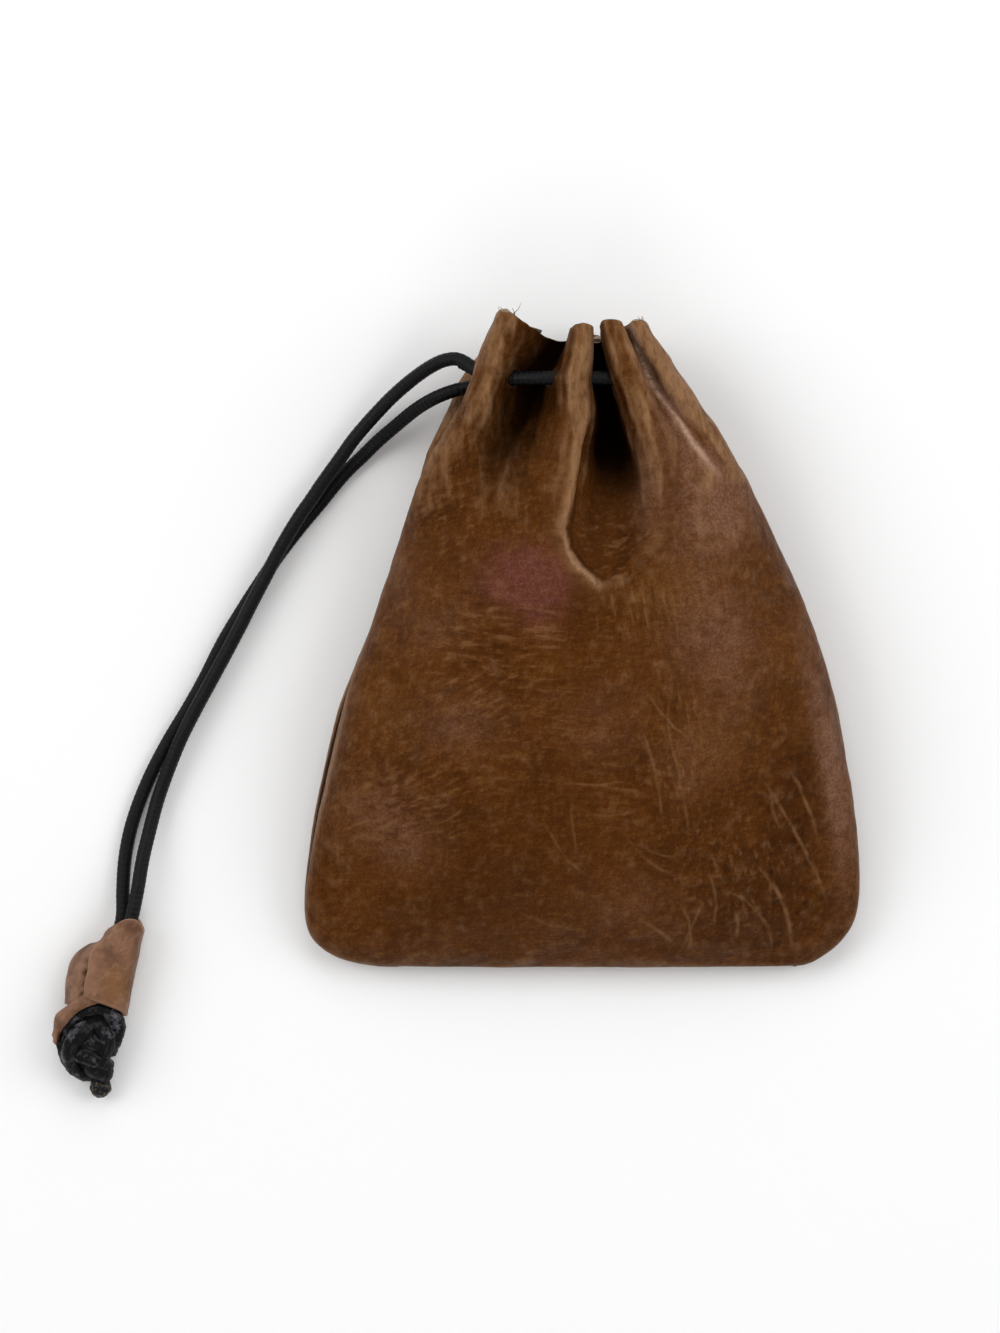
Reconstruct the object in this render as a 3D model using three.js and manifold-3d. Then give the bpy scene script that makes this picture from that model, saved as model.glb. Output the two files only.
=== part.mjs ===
// A drawstring coin purse of waxed leather, lying on its back with its mouth gathered by a cord.
// Its front faces up (+Z), its mouth points along +Y and +X is to the right. Millimetres.
// The origin is at the middle of the purse, on the surface that it rests on.

import * as THREE from 'three';
import { mergeVertices } from 'three/addons/utils/BufferGeometryUtils.js';
import Module from 'manifold-3d';

const wasm = await Module();
wasm.setup();

// Sizes of the pouch

const pouchWidth = 90.2; // widest place, a little above the bottom seam
const pouchHeight = 105.8; // bottom seam to the highest point of the rim
const bellyDepth = 24; // front to back of the filled belly as it lies
const neckDepth = 24; // front to back over the folds of the neck
const leather = 1.2; // wall
const seamGap = 0.3; // between the two panels, all along their seam
const foldRadius = 2.6; // outside of a fold's crest
const rimWave = 5.4; // how far the lowest valley of the rim lies under its highest crest

// Sizes of the cord and what is on it

const cordDiameter = 2.2;
const cordSides = 8;
const holeRow = 10.6; // highest point of the rim down to the row of holes
const holeClearance = 0.5; // between the cord and the edge of a hole
const cordInset = 4; // crest of a fold in to the middle of the cord

const slideLength = 14.1;
const slideWidth = 11.4; // widest place, near the knot
const slideHeight = 7.4;
const slideLeather = 1;
const slideLift = 0.1; // clear of the surface
const slideGap = 0.3; // between the start of its strip and the end tucked under it

const knotWidth = 11.2;
const knotLength = 11.6;
const knotHeight = 8.6;
const tailDiameter = 3.2; // sealed end of the cord
const tailLength = 4;
const tailHeight = 2.4; // of its middle above the surface

// Sections of the pouch from the bottom seam up. up is a share of pouchHeight, left and right are
// shares of half the pouchWidth, and seam (the height of the side seams above the surface), front
// (the front over the seams) and back (the back under them) are shares of bellyDepth.
const sections = [
  { up: 0.0, left: 0.652, right: 0.769, seam: 0.12, front: 0.0, back: 0.0 },
  { up: 0.003, left: 0.756, right: 0.81, seam: 0.12, front: 0.065, back: 0.055 },
  { up: 0.015, left: 0.88, right: 0.866, seam: 0.125, front: 0.14, back: 0.1 },
  { up: 0.045, left: 0.973, right: 0.945, seam: 0.15, front: 0.24, back: 0.152 },
  { up: 0.09, left: 1.0, right: 0.993, seam: 0.19, front: 0.335, back: 0.2 },
  { up: 0.17, left: 0.984, right: 0.998, seam: 0.26, front: 0.44, back: 0.272 },
  { up: 0.29, left: 0.936, right: 0.96, seam: 0.35, front: 0.54, back: 0.365 },
  { up: 0.41, left: 0.862, right: 0.908, seam: 0.41, front: 0.58, back: 0.428 },
  { up: 0.53, left: 0.752, right: 0.819, seam: 0.44, front: 0.575, back: 0.458 },
  { up: 0.65, left: 0.661, right: 0.701, seam: 0.46, front: 0.555, back: 0.478 },
  { up: 0.78, left: 0.558, right: 0.543, seam: 0.49, front: 0.52, back: 0.505 },
  { up: 0.9, left: 0.436, right: 0.357, seam: 0.51, front: 0.5, back: 0.515 },
  { up: 1.0, left: 0.308, right: 0.225, seam: 0.51, front: 0.48, back: 0.5 },
];

// Valleys and crests of the neck in turn, from the left seam over the front to the right seam and
// round the back. across and over are places at the row of holes, rimAcross and rimOver at the rim,
// as shares of half the neck's width and of half the neckDepth. belly is where the fold fades out
// across the belly, as a share of its half width, and from is the height it starts at, as a share of
// pouchHeight. drop is how low its rim lies, as a share of rimWave, and round is its radius, as a
// share of foldRadius.
const folds = [
  { across: -0.5, over: 0.07, rimAcross: -0.45, rimOver: 0.05, belly: -1, from: 0.66, drop: 0.5, round: 1.1 },
  { across: -0.71, over: 0.7, rimAcross: -0.9, rimOver: 0.62, belly: -0.8, from: 0.7, drop: 0, round: 1.5 },
  { across: -0.29, over: 0.36, rimAcross: -0.1, rimOver: 0.36, belly: -0.46, from: 0.7, drop: 0.88, round: 1 },
  { across: 0.05, over: 1, rimAcross: 0.15, rimOver: 0.98, belly: -0.12, from: 0.57, drop: 0.4, round: 1 },
  { across: 0.24, over: 0.32, rimAcross: 0.32, rimOver: 0.36, belly: 0.1, from: 0.54, drop: 0.9, round: 0.5 },
  { across: 0.46, over: 0.88, rimAcross: 0.5, rimOver: 0.86, belly: 0.46, from: 0.62, drop: 0.26, round: 1.7 },
  { across: 0.6, over: 0.5, rimAcross: 0.62, rimOver: 0.5, belly: 0.75, from: 0.74, drop: 0.45, round: 0.5 },
  { across: 0.85, over: 0.57, rimAcross: 0.9, rimOver: 0.55, belly: 0.9, from: 0.7, drop: 0.3, round: 1.5 },
  { across: 0.55, over: 0, rimAcross: 0.55, rimOver: 0, belly: 1, from: 0.7, drop: 0.6, round: 1 },
  { across: 0.72, over: -0.69, rimAcross: 0.72, rimOver: -0.68, belly: 0.75, from: 0.7, drop: 0.62, round: 1 },
  { across: 0.4, over: -0.34, rimAcross: 0.46, rimOver: -0.34, belly: 0.5, from: 0.66, drop: 0.72, round: 0.8 },
  { across: 0.19, over: -0.99, rimAcross: 0.29, rimOver: -0.97, belly: 0.2, from: 0.66, drop: 0.56, round: 1 },
  { across: -0.11, over: -0.34, rimAcross: 0.0, rimOver: -0.34, belly: -0.05, from: 0.66, drop: 1, round: 0.7 },
  { across: -0.45, over: -0.89, rimAcross: -0.42, rimOver: -0.88, belly: -0.36, from: 0.66, drop: 0.85, round: 1 },
  { across: -0.5, over: -0.28, rimAcross: -0.42, rimOver: -0.28, belly: -0.6, from: 0.7, drop: 0.9, round: 0.7 },
  { across: -0.82, over: -0.57, rimAcross: -0.9, rimOver: -0.55, belly: -0.82, from: 0.7, drop: 0.45, round: 1 },
];

const frontFullness = 0.9; // powers of the belly's section: the lower, the squarer its shoulders
const backFullness = 0.5;

const holeUp = 1 - holeRow / pouchHeight;
const holeY = pouchHeight / 2 - holeRow;
const cordRadius = cordDiameter / 2;

// Where the mesh of a panel has its rows and columns: halves of the sections' steps from the third
// section up, and five steps from a valley to its crest, closer where the leather turns.
const closeRows = 4;
const foldSteps = [0, 0.15, 0.35, 0.65, 0.85];

function catmull(before, start, end, after, share) {
  const a = 2 * start;
  const b = end - before;
  const c = 2 * before - 5 * start + 4 * end - after;
  const d = 3 * start - before - 3 * end + after;
  return 0.5 * (a + b * share + c * share ** 2 + d * share ** 3);
}

function ease(share) {
  const held = THREE.MathUtils.clamp(share, 0, 1);
  return held * held * (3 - 2 * held);
}

// The section at a place among the sections' rows, where 2.5 lies half way from row 2 to row 3.
function sectionAt(place) {
  const last = sections.length - 1;
  const row = Math.min(Math.floor(place), last - 1);
  const near = [row - 1, row, row + 1, row + 2].map((i) => sections[THREE.MathUtils.clamp(i, 0, last)]);
  const read = (column) => catmull(...near.map((section) => section[column]), place - row);
  return {
    up: read('up'),
    left: (-read('left') * pouchWidth) / 2,
    right: (read('right') * pouchWidth) / 2,
    seam: read('seam') * bellyDepth,
    front: read('front') * bellyDepth,
    back: read('back') * bellyDepth,
  };
}

function foldAt(index) {
  return folds[(index + folds.length) % folds.length];
}

function foldBlend(column, place) {
  const fold = Math.floor(place);
  return THREE.MathUtils.lerp(foldAt(fold)[column], foldAt(fold + 1)[column], ease(place - fold));
}

// Angle round the belly, 0 at the left seam and half a turn at the right one, at a place among folds.
function bellyAngle(place) {
  const fold = Math.floor(place);
  const angleOf = (index) => {
    const turn = Math.floor(index / folds.length) * 2 * Math.PI;
    const inner = Math.acos(-foldAt(index).belly);
    const isBack = (index + folds.length) % folds.length > folds.length / 2;
    return turn + (isBack ? 2 * Math.PI - inner : inner);
  };
  return catmull(angleOf(fold - 1), angleOf(fold), angleOf(fold + 1), angleOf(fold + 2), place - fold);
}

// Place and direction of the leather at the top of a crest or the foot of a valley of the neck.
function foldPoint(index, halfWidth, rimShare) {
  const fold = foldAt(index);
  const across = THREE.MathUtils.lerp(fold.across, fold.rimAcross, rimShare);
  const over = THREE.MathUtils.lerp(fold.over, fold.rimOver, rimShare);
  return new THREE.Vector2(across * halfWidth, (over * neckDepth) / 2);
}

function foldDirection(index, halfWidth, rimShare) {
  const isCrest = (index + folds.length) % 2 === 1;
  const before = foldPoint(index - 1, halfWidth, rimShare);
  const after = foldPoint(index + 1, halfWidth, rimShare);
  const outward = foldPoint(index, halfWidth, rimShare).sub(before.add(after).multiplyScalar(0.5));
  if (!isCrest) outward.negate();
  const depth = outward.length();
  const speed = Math.sqrt(6 * depth * foldRadius * foldAt(index).round);
  return new THREE.Vector2(outward.y, -outward.x).multiplyScalar(speed / depth);
}

// The gathered neck's own section: a smooth curve from each crest to the next valley.
function neckPoint(place, halfWidth, rimShare) {
  const fold = Math.floor(place);
  const share = place - fold;
  const start = foldPoint(fold, halfWidth, rimShare);
  const end = foldPoint(fold + 1, halfWidth, rimShare);
  const leave = foldDirection(fold, halfWidth, rimShare);
  const arrive = foldDirection(fold + 1, halfWidth, rimShare);
  const blend = share * share * (3 - 2 * share);
  return start.multiplyScalar(1 - blend)
    .add(end.multiplyScalar(blend))
    .add(leave.multiplyScalar(share * (1 - share) ** 2))
    .add(arrive.multiplyScalar(-(share ** 2) * (1 - share)));
}

// The outside of the leather round one section, at places among the folds.
function pouchRow(rowPlace, foldPlaces) {
  const section = sectionAt(rowPlace);
  const halfWidth = (section.right - section.left) / 2;
  const middle = (section.right + section.left) / 2;
  const rimShare = THREE.MathUtils.clamp((section.up - holeUp) / (1 - holeUp), 0, 1);
  const pointAt = (place) => {
    const angle = bellyAngle(place);
    const rise = Math.sin(angle);
    const bellyX = middle - halfWidth * Math.cos(angle);
    const bellyZ = rise > 0 ? section.front * rise ** frontFullness : -section.back * (-rise) ** backFullness;
    const neck = neckPoint(place, halfWidth, rimShare);
    const from = foldBlend('from', place);
    const gathered = ease((section.up - from) / (holeUp - from));
    const drop = foldBlend('drop', place) * rimWave * rimShare;
    return new THREE.Vector3(
      THREE.MathUtils.lerp(bellyX, middle + neck.x, gathered),
      (section.up - 0.5) * pouchHeight - drop,
      section.seam + THREE.MathUtils.lerp(bellyZ, neck.y, gathered),
    );
  };
  const around = allPlaces.map(pointAt);
  const low = Math.min(...around.map((point) => point.x));
  const high = Math.max(...around.map((point) => point.x));
  return foldPlaces.map(pointAt).map((point) => {
    point.x = THREE.MathUtils.mapLinear(point.x, low, high, section.left, section.right);
    return point;
  });
}

const allPlaces = folds.flatMap((fold, index) => foldSteps.map((step) => index + step));

const rowPlaces = sections.flatMap((section, index) => {
  const isClose = index >= closeRows && index < sections.length - 1;
  return isClose ? [index, index + 0.5] : [index];
});

// Outward normals of a grid of points, from the faces round each point.
function gridNormals(grid) {
  const normals = grid.map((row) => row.map(() => new THREE.Vector3()));
  for (let i = 0; i < grid.length - 1; i += 1) {
    for (let j = 0; j < grid[i].length - 1; j += 1) {
      const rising = grid[i + 1][j + 1].clone().sub(grid[i][j]);
      const falling = grid[i][j + 1].clone().sub(grid[i + 1][j]);
      const face = falling.cross(rising);
      for (const [row, column] of [[i, j], [i + 1, j], [i, j + 1], [i + 1, j + 1]]) {
        normals[row][column].add(face);
      }
    }
  }
  for (const normal of normals.flat()) normal.normalize();
  return normals;
}

// A closed wall between two grids of points with the same rows and columns. Each four-sided face is
// split along its shorter diagonal.
function slab(outer, inner) {
  const rows = outer.length;
  const columns = outer[0].length;
  const points = [...outer.flat(), ...inner.flat()];
  const at = (side, row, column) => (side * rows + row) * columns + column;
  const triangles = [];
  const quad = (a, b, c, d) => {
    const isFirstShorter = points[a].distanceTo(points[c]) <= points[b].distanceTo(points[d]);
    triangles.push(...(isFirstShorter ? [a, b, c, a, c, d] : [b, c, d, b, d, a]));
  };
  for (let i = 0; i < rows - 1; i += 1) {
    for (let j = 0; j < columns - 1; j += 1) {
      quad(at(0, i, j), at(0, i, j + 1), at(0, i + 1, j + 1), at(0, i + 1, j));
      quad(at(1, i, j), at(1, i + 1, j), at(1, i + 1, j + 1), at(1, i, j + 1));
    }
    quad(at(0, i, 0), at(0, i + 1, 0), at(1, i + 1, 0), at(1, i, 0));
    const end = columns - 1;
    quad(at(0, i + 1, end), at(0, i, end), at(1, i, end), at(1, i + 1, end));
  }
  for (let j = 0; j < columns - 1; j += 1) {
    const top = rows - 1;
    quad(at(0, 0, j + 1), at(0, 0, j), at(1, 0, j), at(1, 0, j + 1));
    quad(at(0, top, j), at(0, top, j + 1), at(1, top, j + 1), at(1, top, j));
  }
  const geometry = new THREE.BufferGeometry();
  geometry.setFromPoints(points);
  geometry.setIndex(triangles);
  return geometry;
}

function solid(geometry) {
  const bare = geometry.clone();
  bare.deleteAttribute('normal');
  bare.deleteAttribute('uv');
  const merged = mergeVertices(bare, 1e-4);
  return new wasm.Manifold(new wasm.Mesh({
    numProp: 3,
    vertProperties: new Float32Array(merged.attributes.position.array),
    triVerts: new Uint32Array(merged.index.array),
  }));
}

function geometryOf(manifold) {
  const mesh = manifold.getMesh();
  const geometry = new THREE.BufferGeometry();
  geometry.setAttribute('position', new THREE.BufferAttribute(new Float32Array(mesh.vertProperties), 3));
  geometry.setIndex(new THREE.BufferAttribute(new Uint32Array(mesh.triVerts), 1));
  return geometry;
}

function cordTube(points, radius, steps) {
  const ring = [];
  for (let i = 0; i < cordSides; i += 1) {
    const angle = (i / cordSides) * 2 * Math.PI;
    ring.push(new THREE.Vector2(radius * Math.cos(angle), radius * Math.sin(angle)));
  }
  const extrudePath = new THREE.CatmullRomCurve3(points);
  return new THREE.ExtrudeGeometry(new THREE.Shape(ring), { steps, bevelEnabled: false, extrudePath });
}

// Cord

const holeSection = sectionAt(sections.length - 2);
const neckMiddle = (holeSection.right + holeSection.left) / 2;
const neckOval = new THREE.Vector2(
  (holeSection.right - holeSection.left) / 2 - cordInset,
  neckDepth / 2 - cordInset,
);

// The cord's two ways out of the valley at the left seam, from the folds outward. x is measured from
// the left edge of the neck, y from the row of holes and z from the height of the seam.
const upperWayOut = [[2.9, 1.3, 1.3], [0.3, 2.8, -0.3]];
const lowerWayOut = [[2.9, -0.9, -1.4], [-0.1, -1.5, -0.9]];
const ovalSteps = 20;
const ovalGap = THREE.MathUtils.degToRad(22); // from the left seam to where the cord leaves the oval

function wayOut(points) {
  return points.map(([x, y, z]) => (
    new THREE.Vector3(holeSection.left + x, holeY + y, holeSection.seam + z)
  ));
}

function neckCordPoints() {
  const oval = [];
  for (let i = 0; i <= ovalSteps; i += 1) {
    const angle = THREE.MathUtils.lerp(Math.PI - ovalGap, ovalGap - Math.PI, i / ovalSteps);
    oval.push(new THREE.Vector3(
      neckMiddle + neckOval.x * Math.cos(angle),
      holeY,
      holeSection.seam + neckOval.y * Math.sin(angle),
    ));
  }
  return [...wayOut(upperWayOut).reverse(), ...oval, ...wayOut(lowerWayOut)];
}

// The free strands as they lie, from the neck to the knot. x and y are measured from where the row of
// holes meets the left edge of the neck, and z from the surface.
const upperRoute = [
  [-0.35, 3.3, 11.7], [-2.4, 3.2, 10.9], [-4.6, 2.3, 9.5], [-7.4, 0.5, 7.5], [-10.9, -2.4, 5.6],
  [-13.3, -4.8, 4.5], [-15.5, -7.2, 4.0], [-17.5, -9.6, 3.7], [-19.2, -12.0, 3.6], [-21.0, -14.5, 3.6],
  [-22.7, -16.9, 3.7], [-24.3, -19.3, 3.8], [-26.0, -21.7, 3.8], [-28.9, -26.5, 3.8], [-31.5, -31.4, 3.8],
  [-34.0, -36.2, 3.7], [-35.3, -38.8, 3.6], [-37.8, -43.6, 3.5], [-40.4, -48.4, 3.5], [-43.0, -53.2, 3.5],
  [-45.4, -58.0, 3.3], [-47.4, -62.9, 2.9], [-49.1, -67.7, 2.6], [-50.4, -72.6, 2.9], [-51.5, -77.4, 3.7],
  [-52.3, -82.3, 4.5], [-53.3, -87.1, 4.9], [-54.8, -92.0, 4.9], [-56.7, -97.0, 4.9], [-58.4, -101.5, 4.9],
];
const lowerRoute = [
  [-0.9, -1.7, 11.2], [-3.8, -2.75, 10.2], [-7.0, -4.5, 7.4], [-10.4, -7.1, 4.2], [-13.4, -9.6, 2.2],
  [-15.9, -12.0, 1.4], [-18.4, -14.4, 1.2], [-20.5, -16.8, 1.2], [-22.5, -19.3, 1.2], [-26.5, -24.1, 1.2],
  [-30.2, -29.0, 1.2], [-33.4, -33.8, 1.2], [-35.0, -36.3, 1.2], [-38.0, -41.2, 1.2], [-39.3, -43.6, 1.2],
  [-41.7, -48.4, 1.2], [-44.4, -53.2, 1.2], [-47.3, -58.0, 1.2], [-49.9, -62.9, 1.2], [-52.0, -67.7, 1.2],
  [-53.6, -72.6, 1.2], [-54.5, -77.4, 1.4], [-54.8, -82.3, 2.1], [-54.9, -87.1, 2.8], [-56.3, -92.0, 2.8],
  [-58.2, -97.0, 2.8], [-60.0, -101.5, 2.8],
];

function routePoints(route) {
  return route.map(([x, y, z]) => new THREE.Vector3(holeSection.left + x, holeY + y, z));
}

// What the holes are cut along: the neck's cord and the first of each strand.
function holePath() {
  return [
    ...routePoints(upperRoute.slice(1, 3)).reverse(),
    ...neckCordPoints(),
    ...routePoints(lowerRoute.slice(1, 3)),
  ];
}

const neckCordSteps = 44;
const strandSteps = 37;

// Leather panels. The inside follows the outside at the leather's thickness, and both panels end flat
// on the plane of the seam.
function panel(firstFold, side) {
  const places = [];
  for (let fold = firstFold; fold < firstFold + folds.length / 2; fold += 1) {
    places.push(...foldSteps.map((step) => fold + step));
  }
  places.push(firstFold + folds.length / 2);
  const outer = rowPlaces.map((rowPlace) => pouchRow(rowPlace, places));
  for (const point of outer.flat()) point.z = Math.max(0, point.z + (side * seamGap) / 2);
  const normals = gridNormals(outer);
  normals.forEach((row, i) => row.forEach((normal, j) => {
    const isSeam = i === 0 || j === 0 || j === row.length - 1;
    if (isSeam) normal.setZ(0).normalize();
    if (i === normals.length - 1) normal.setY(0).normalize();
  }));
  const inner = outer.map((row, i) => row.map((point, j) => {
    const inside = point.clone().addScaledVector(normals[i][j], -leather);
    const ends = [row[0].z, row.at(-1).z];
    inside.z = side > 0 ? Math.max(inside.z, Math.min(...ends)) : Math.min(inside.z, Math.max(...ends));
    return inside;
  }));
  const holes = solid(cordTube(holePath(), cordRadius + holeClearance, neckCordSteps));
  return geometryOf(solid(slab(outer, inner)).subtract(holes));
}

// Slide: one strip of leather wrapped round both strands. along is a share of slideLength from the
// purse to the knot, and left and right are shares of half the slideWidth. start is the direction, in
// degrees, in which the strip's start lies from the slide's middle, and tuck is how far its end lies
// under its start, as a share of the strip and a gap.
const slideSections = [
  { along: 0, left: -0.6, right: 0.6, start: 142, tuck: 0 },
  { along: 0.25, left: -0.76, right: 0.63, start: 134, tuck: 0.5 },
  { along: 0.45, left: -1.08, right: 0.68, start: 118, tuck: 1 },
  { along: 0.62, left: -1.19, right: 0.76, start: 109, tuck: 1 },
  { along: 0.8, left: -1.12, right: 0.84, start: 110, tuck: 1 },
  { along: 1, left: -0.94, right: 0.9, start: 112, tuck: 1 },
];
const slideTop = [-54.1, -88.3]; // middle of the slide's upper end, measured as the routes are
const slideTilt = THREE.MathUtils.degToRad(-20.7);
const slideSteps = 24;
const slideSlit = THREE.MathUtils.degToRad(7); // between the strip's start and its end
const slideSquareness = 3.5;
const tuckStart = 0.72; // where the strip starts to turn in, as a share of its way round
const tuckRun = 0.2; // how far on it is tucked in

function slideRow(section) {
  const middle = ((section.left + section.right) * slideWidth) / 4;
  const halfWidth = ((section.right - section.left) * slideWidth) / 4;
  const halfHeight = slideHeight / 2;
  const start = THREE.MathUtils.degToRad(section.start);
  const points = [];
  for (let i = 0; i <= slideSteps; i += 1) {
    const angle = start - (i / slideSteps) * (2 * Math.PI - slideSlit);
    const tucked = section.tuck * ease((i / slideSteps - tuckStart) / tuckRun) * (slideLeather + slideGap);
    const across = Math.abs(Math.cos(angle)) ** slideSquareness;
    const upward = Math.abs(Math.sin(angle)) ** slideSquareness;
    const reach = (across + upward) ** (-1 / slideSquareness);
    points.push(new THREE.Vector3(
      middle + (halfWidth - tucked) * reach * Math.cos(angle),
      -section.along * slideLength,
      halfHeight + slideLift + (halfHeight - tucked) * reach * Math.sin(angle),
    ));
  }
  return points;
}

function slide() {
  const outer = slideSections.map(slideRow);
  const normals = gridNormals(outer);
  const inner = outer.map((row, i) => row.map((point, j) => {
    const normal = normals[i][j].clone().setY(0).normalize();
    return point.clone().addScaledVector(normal, slideLeather);
  }));
  return slab(inner, outer);
}

// Knot: fat turns of the cord pressed into one another, and the sealed tail under them. right and
// along are shares of knotWidth and knotLength from the knot's middle, up is a share of knotHeight
// from the surface, and the sizes are shares of the same three.
const knotTurns = [
  { right: 0, along: 0, up: 0.5, wide: 0.98, long: 0.86, high: 0.94, turn: 20 },
  { right: 0.12, along: 0.24, up: 0.6, wide: 0.82, long: 0.44, high: 0.78, turn: -24 },
  { right: -0.2, along: 0.04, up: 0.58, wide: 0.5, long: 0.78, high: 0.8, turn: 14 },
  { right: 0.08, along: -0.32, up: 0.4, wide: 0.6, long: 0.46, high: 0.68, turn: 28 },
];
const knotMiddle = [-60.2, -107.3]; // measured as the routes are
const tailMiddle = [-58.4, -114.2];
const knotSegments = 12;
const knotRings = 8;

function ellipsoid(middle, sizes, turn) {
  const shape = new THREE.SphereGeometry(0.5, knotSegments, knotRings);
  shape.scale(...sizes).rotateZ(THREE.MathUtils.degToRad(turn)).translate(...middle);
  return solid(shape);
}

function knot() {
  const [middleX, middleY] = [holeSection.left + knotMiddle[0], holeY + knotMiddle[1]];
  const turns = knotTurns.map((turn) => ellipsoid(
    [middleX + turn.right * knotWidth, middleY + turn.along * knotLength, turn.up * knotHeight],
    [turn.wide * knotWidth, turn.long * knotLength, turn.high * knotHeight],
    turn.turn,
  ));
  const tail = ellipsoid(
    [holeSection.left + tailMiddle[0], holeY + tailMiddle[1], tailHeight],
    [tailDiameter, tailLength, tailDiameter],
    0,
  );
  return geometryOf(turns.reduce((joined, turn) => joined.add(turn), tail));
}

// Materials

const pouchLeather = new THREE.MeshStandardMaterial({ color: 0x5e3c22, roughness: 0.55, metalness: 0 });
const slideTan = new THREE.MeshStandardMaterial({ color: 0x8a5a3e, roughness: 0.65, metalness: 0 });
const blackCord = new THREE.MeshStandardMaterial({ color: 0x17171a, roughness: 0.6, metalness: 0 });

function piece(name, geometry, material) {
  const mesh = new THREE.Mesh(geometry, material);
  mesh.name = name;
  return mesh;
}

const purse = new THREE.Group();
purse.add(piece('front_panel', panel(0, 1), pouchLeather));
purse.add(piece('back_panel', panel(folds.length / 2, -1), pouchLeather));
purse.add(piece('neck_cord', cordTube(neckCordPoints(), cordRadius, neckCordSteps), blackCord));
purse.add(piece('cord_strand_upper', cordTube(routePoints(upperRoute), cordRadius, strandSteps), blackCord));
purse.add(piece('cord_strand_lower', cordTube(routePoints(lowerRoute), cordRadius, strandSteps), blackCord));

const slidePiece = piece('cord_slide', slide(), slideTan);
slidePiece.position.set(holeSection.left + slideTop[0], holeY + slideTop[1], 0);
slidePiece.rotation.z = slideTilt;
purse.add(slidePiece);
purse.add(piece('end_knot', knot(), blackCord));

export default purse;
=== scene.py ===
# A drawstring coin purse of waxed brown leather, lying on its back, seen from straight above.
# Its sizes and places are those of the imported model. Lengths here are millimetres, and turn into
# metres where a mesh is made. +X is to the right, +Y towards the mouth, +Z up.

import math

import bpy
import numpy as np
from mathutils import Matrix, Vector, kdtree, noise


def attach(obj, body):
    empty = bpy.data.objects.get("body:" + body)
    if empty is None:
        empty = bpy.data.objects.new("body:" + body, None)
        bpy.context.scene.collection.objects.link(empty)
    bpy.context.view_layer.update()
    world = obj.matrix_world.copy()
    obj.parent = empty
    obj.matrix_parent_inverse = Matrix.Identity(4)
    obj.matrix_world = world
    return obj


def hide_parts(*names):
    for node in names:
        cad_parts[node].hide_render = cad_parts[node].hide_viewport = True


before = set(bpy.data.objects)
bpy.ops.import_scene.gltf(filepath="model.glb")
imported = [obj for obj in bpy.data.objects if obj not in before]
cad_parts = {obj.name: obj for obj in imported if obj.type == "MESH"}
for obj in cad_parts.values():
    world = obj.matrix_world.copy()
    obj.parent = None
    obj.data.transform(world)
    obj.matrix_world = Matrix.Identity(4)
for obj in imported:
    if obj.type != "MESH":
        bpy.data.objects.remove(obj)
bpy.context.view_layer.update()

MM = 0.001

# Sizes of the purse, as in the model's source

POUCH_WIDTH = 90.2
POUCH_HEIGHT = 105.8
BELLY_DEPTH = 24.0
NECK_DEPTH = 24.0
LEATHER = 1.2
SEAM_GAP = 0.3
FOLD_RADIUS = 2.6
RIM_WAVE = 5.4
CORD_DIAMETER = 2.2
HOLE_ROW = 10.6
HOLE_CLEARANCE = 0.35
CORD_INSET = 4.0
SLIDE_LENGTH = 14.1
SLIDE_WIDTH = 11.4
SLIDE_HEIGHT = 7.4
SLIDE_LEATHER = 1.0
SLIDE_LIFT = 0.1
SLIDE_GAP = 0.3

FRONT_FULLNESS = 0.9
BACK_FULLNESS = 0.5
HOLE_UP = 1 - HOLE_ROW / POUCH_HEIGHT
HOLE_Y = POUCH_HEIGHT / 2 - HOLE_ROW

# Sections of the pouch from the bottom seam up. up is a share of the height, left and right of half
# the width, and seam, front and back of the belly's depth.
SECTION_COLUMNS = ("up", "left", "right", "seam", "front", "back")
SECTIONS = np.array([
    (0.0, 0.652, 0.769, 0.12, 0.0, 0.0),
    (0.003, 0.756, 0.81, 0.12, 0.065, 0.055),
    (0.015, 0.88, 0.866, 0.125, 0.14, 0.1),
    (0.045, 0.973, 0.945, 0.15, 0.24, 0.152),
    (0.09, 1.0, 0.993, 0.19, 0.335, 0.2),
    (0.17, 0.984, 0.998, 0.26, 0.44, 0.272),
    (0.29, 0.936, 0.96, 0.35, 0.54, 0.365),
    (0.41, 0.862, 0.908, 0.41, 0.58, 0.428),
    (0.53, 0.752, 0.819, 0.44, 0.575, 0.458),
    (0.65, 0.661, 0.701, 0.46, 0.555, 0.478),
    (0.78, 0.558, 0.543, 0.49, 0.52, 0.505),
    (0.9, 0.436, 0.357, 0.51, 0.5, 0.515),
    (1.0, 0.308, 0.225, 0.51, 0.48, 0.5),
])
HOLE_PLACE = len(SECTIONS) - 2  # the row of holes among them

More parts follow.
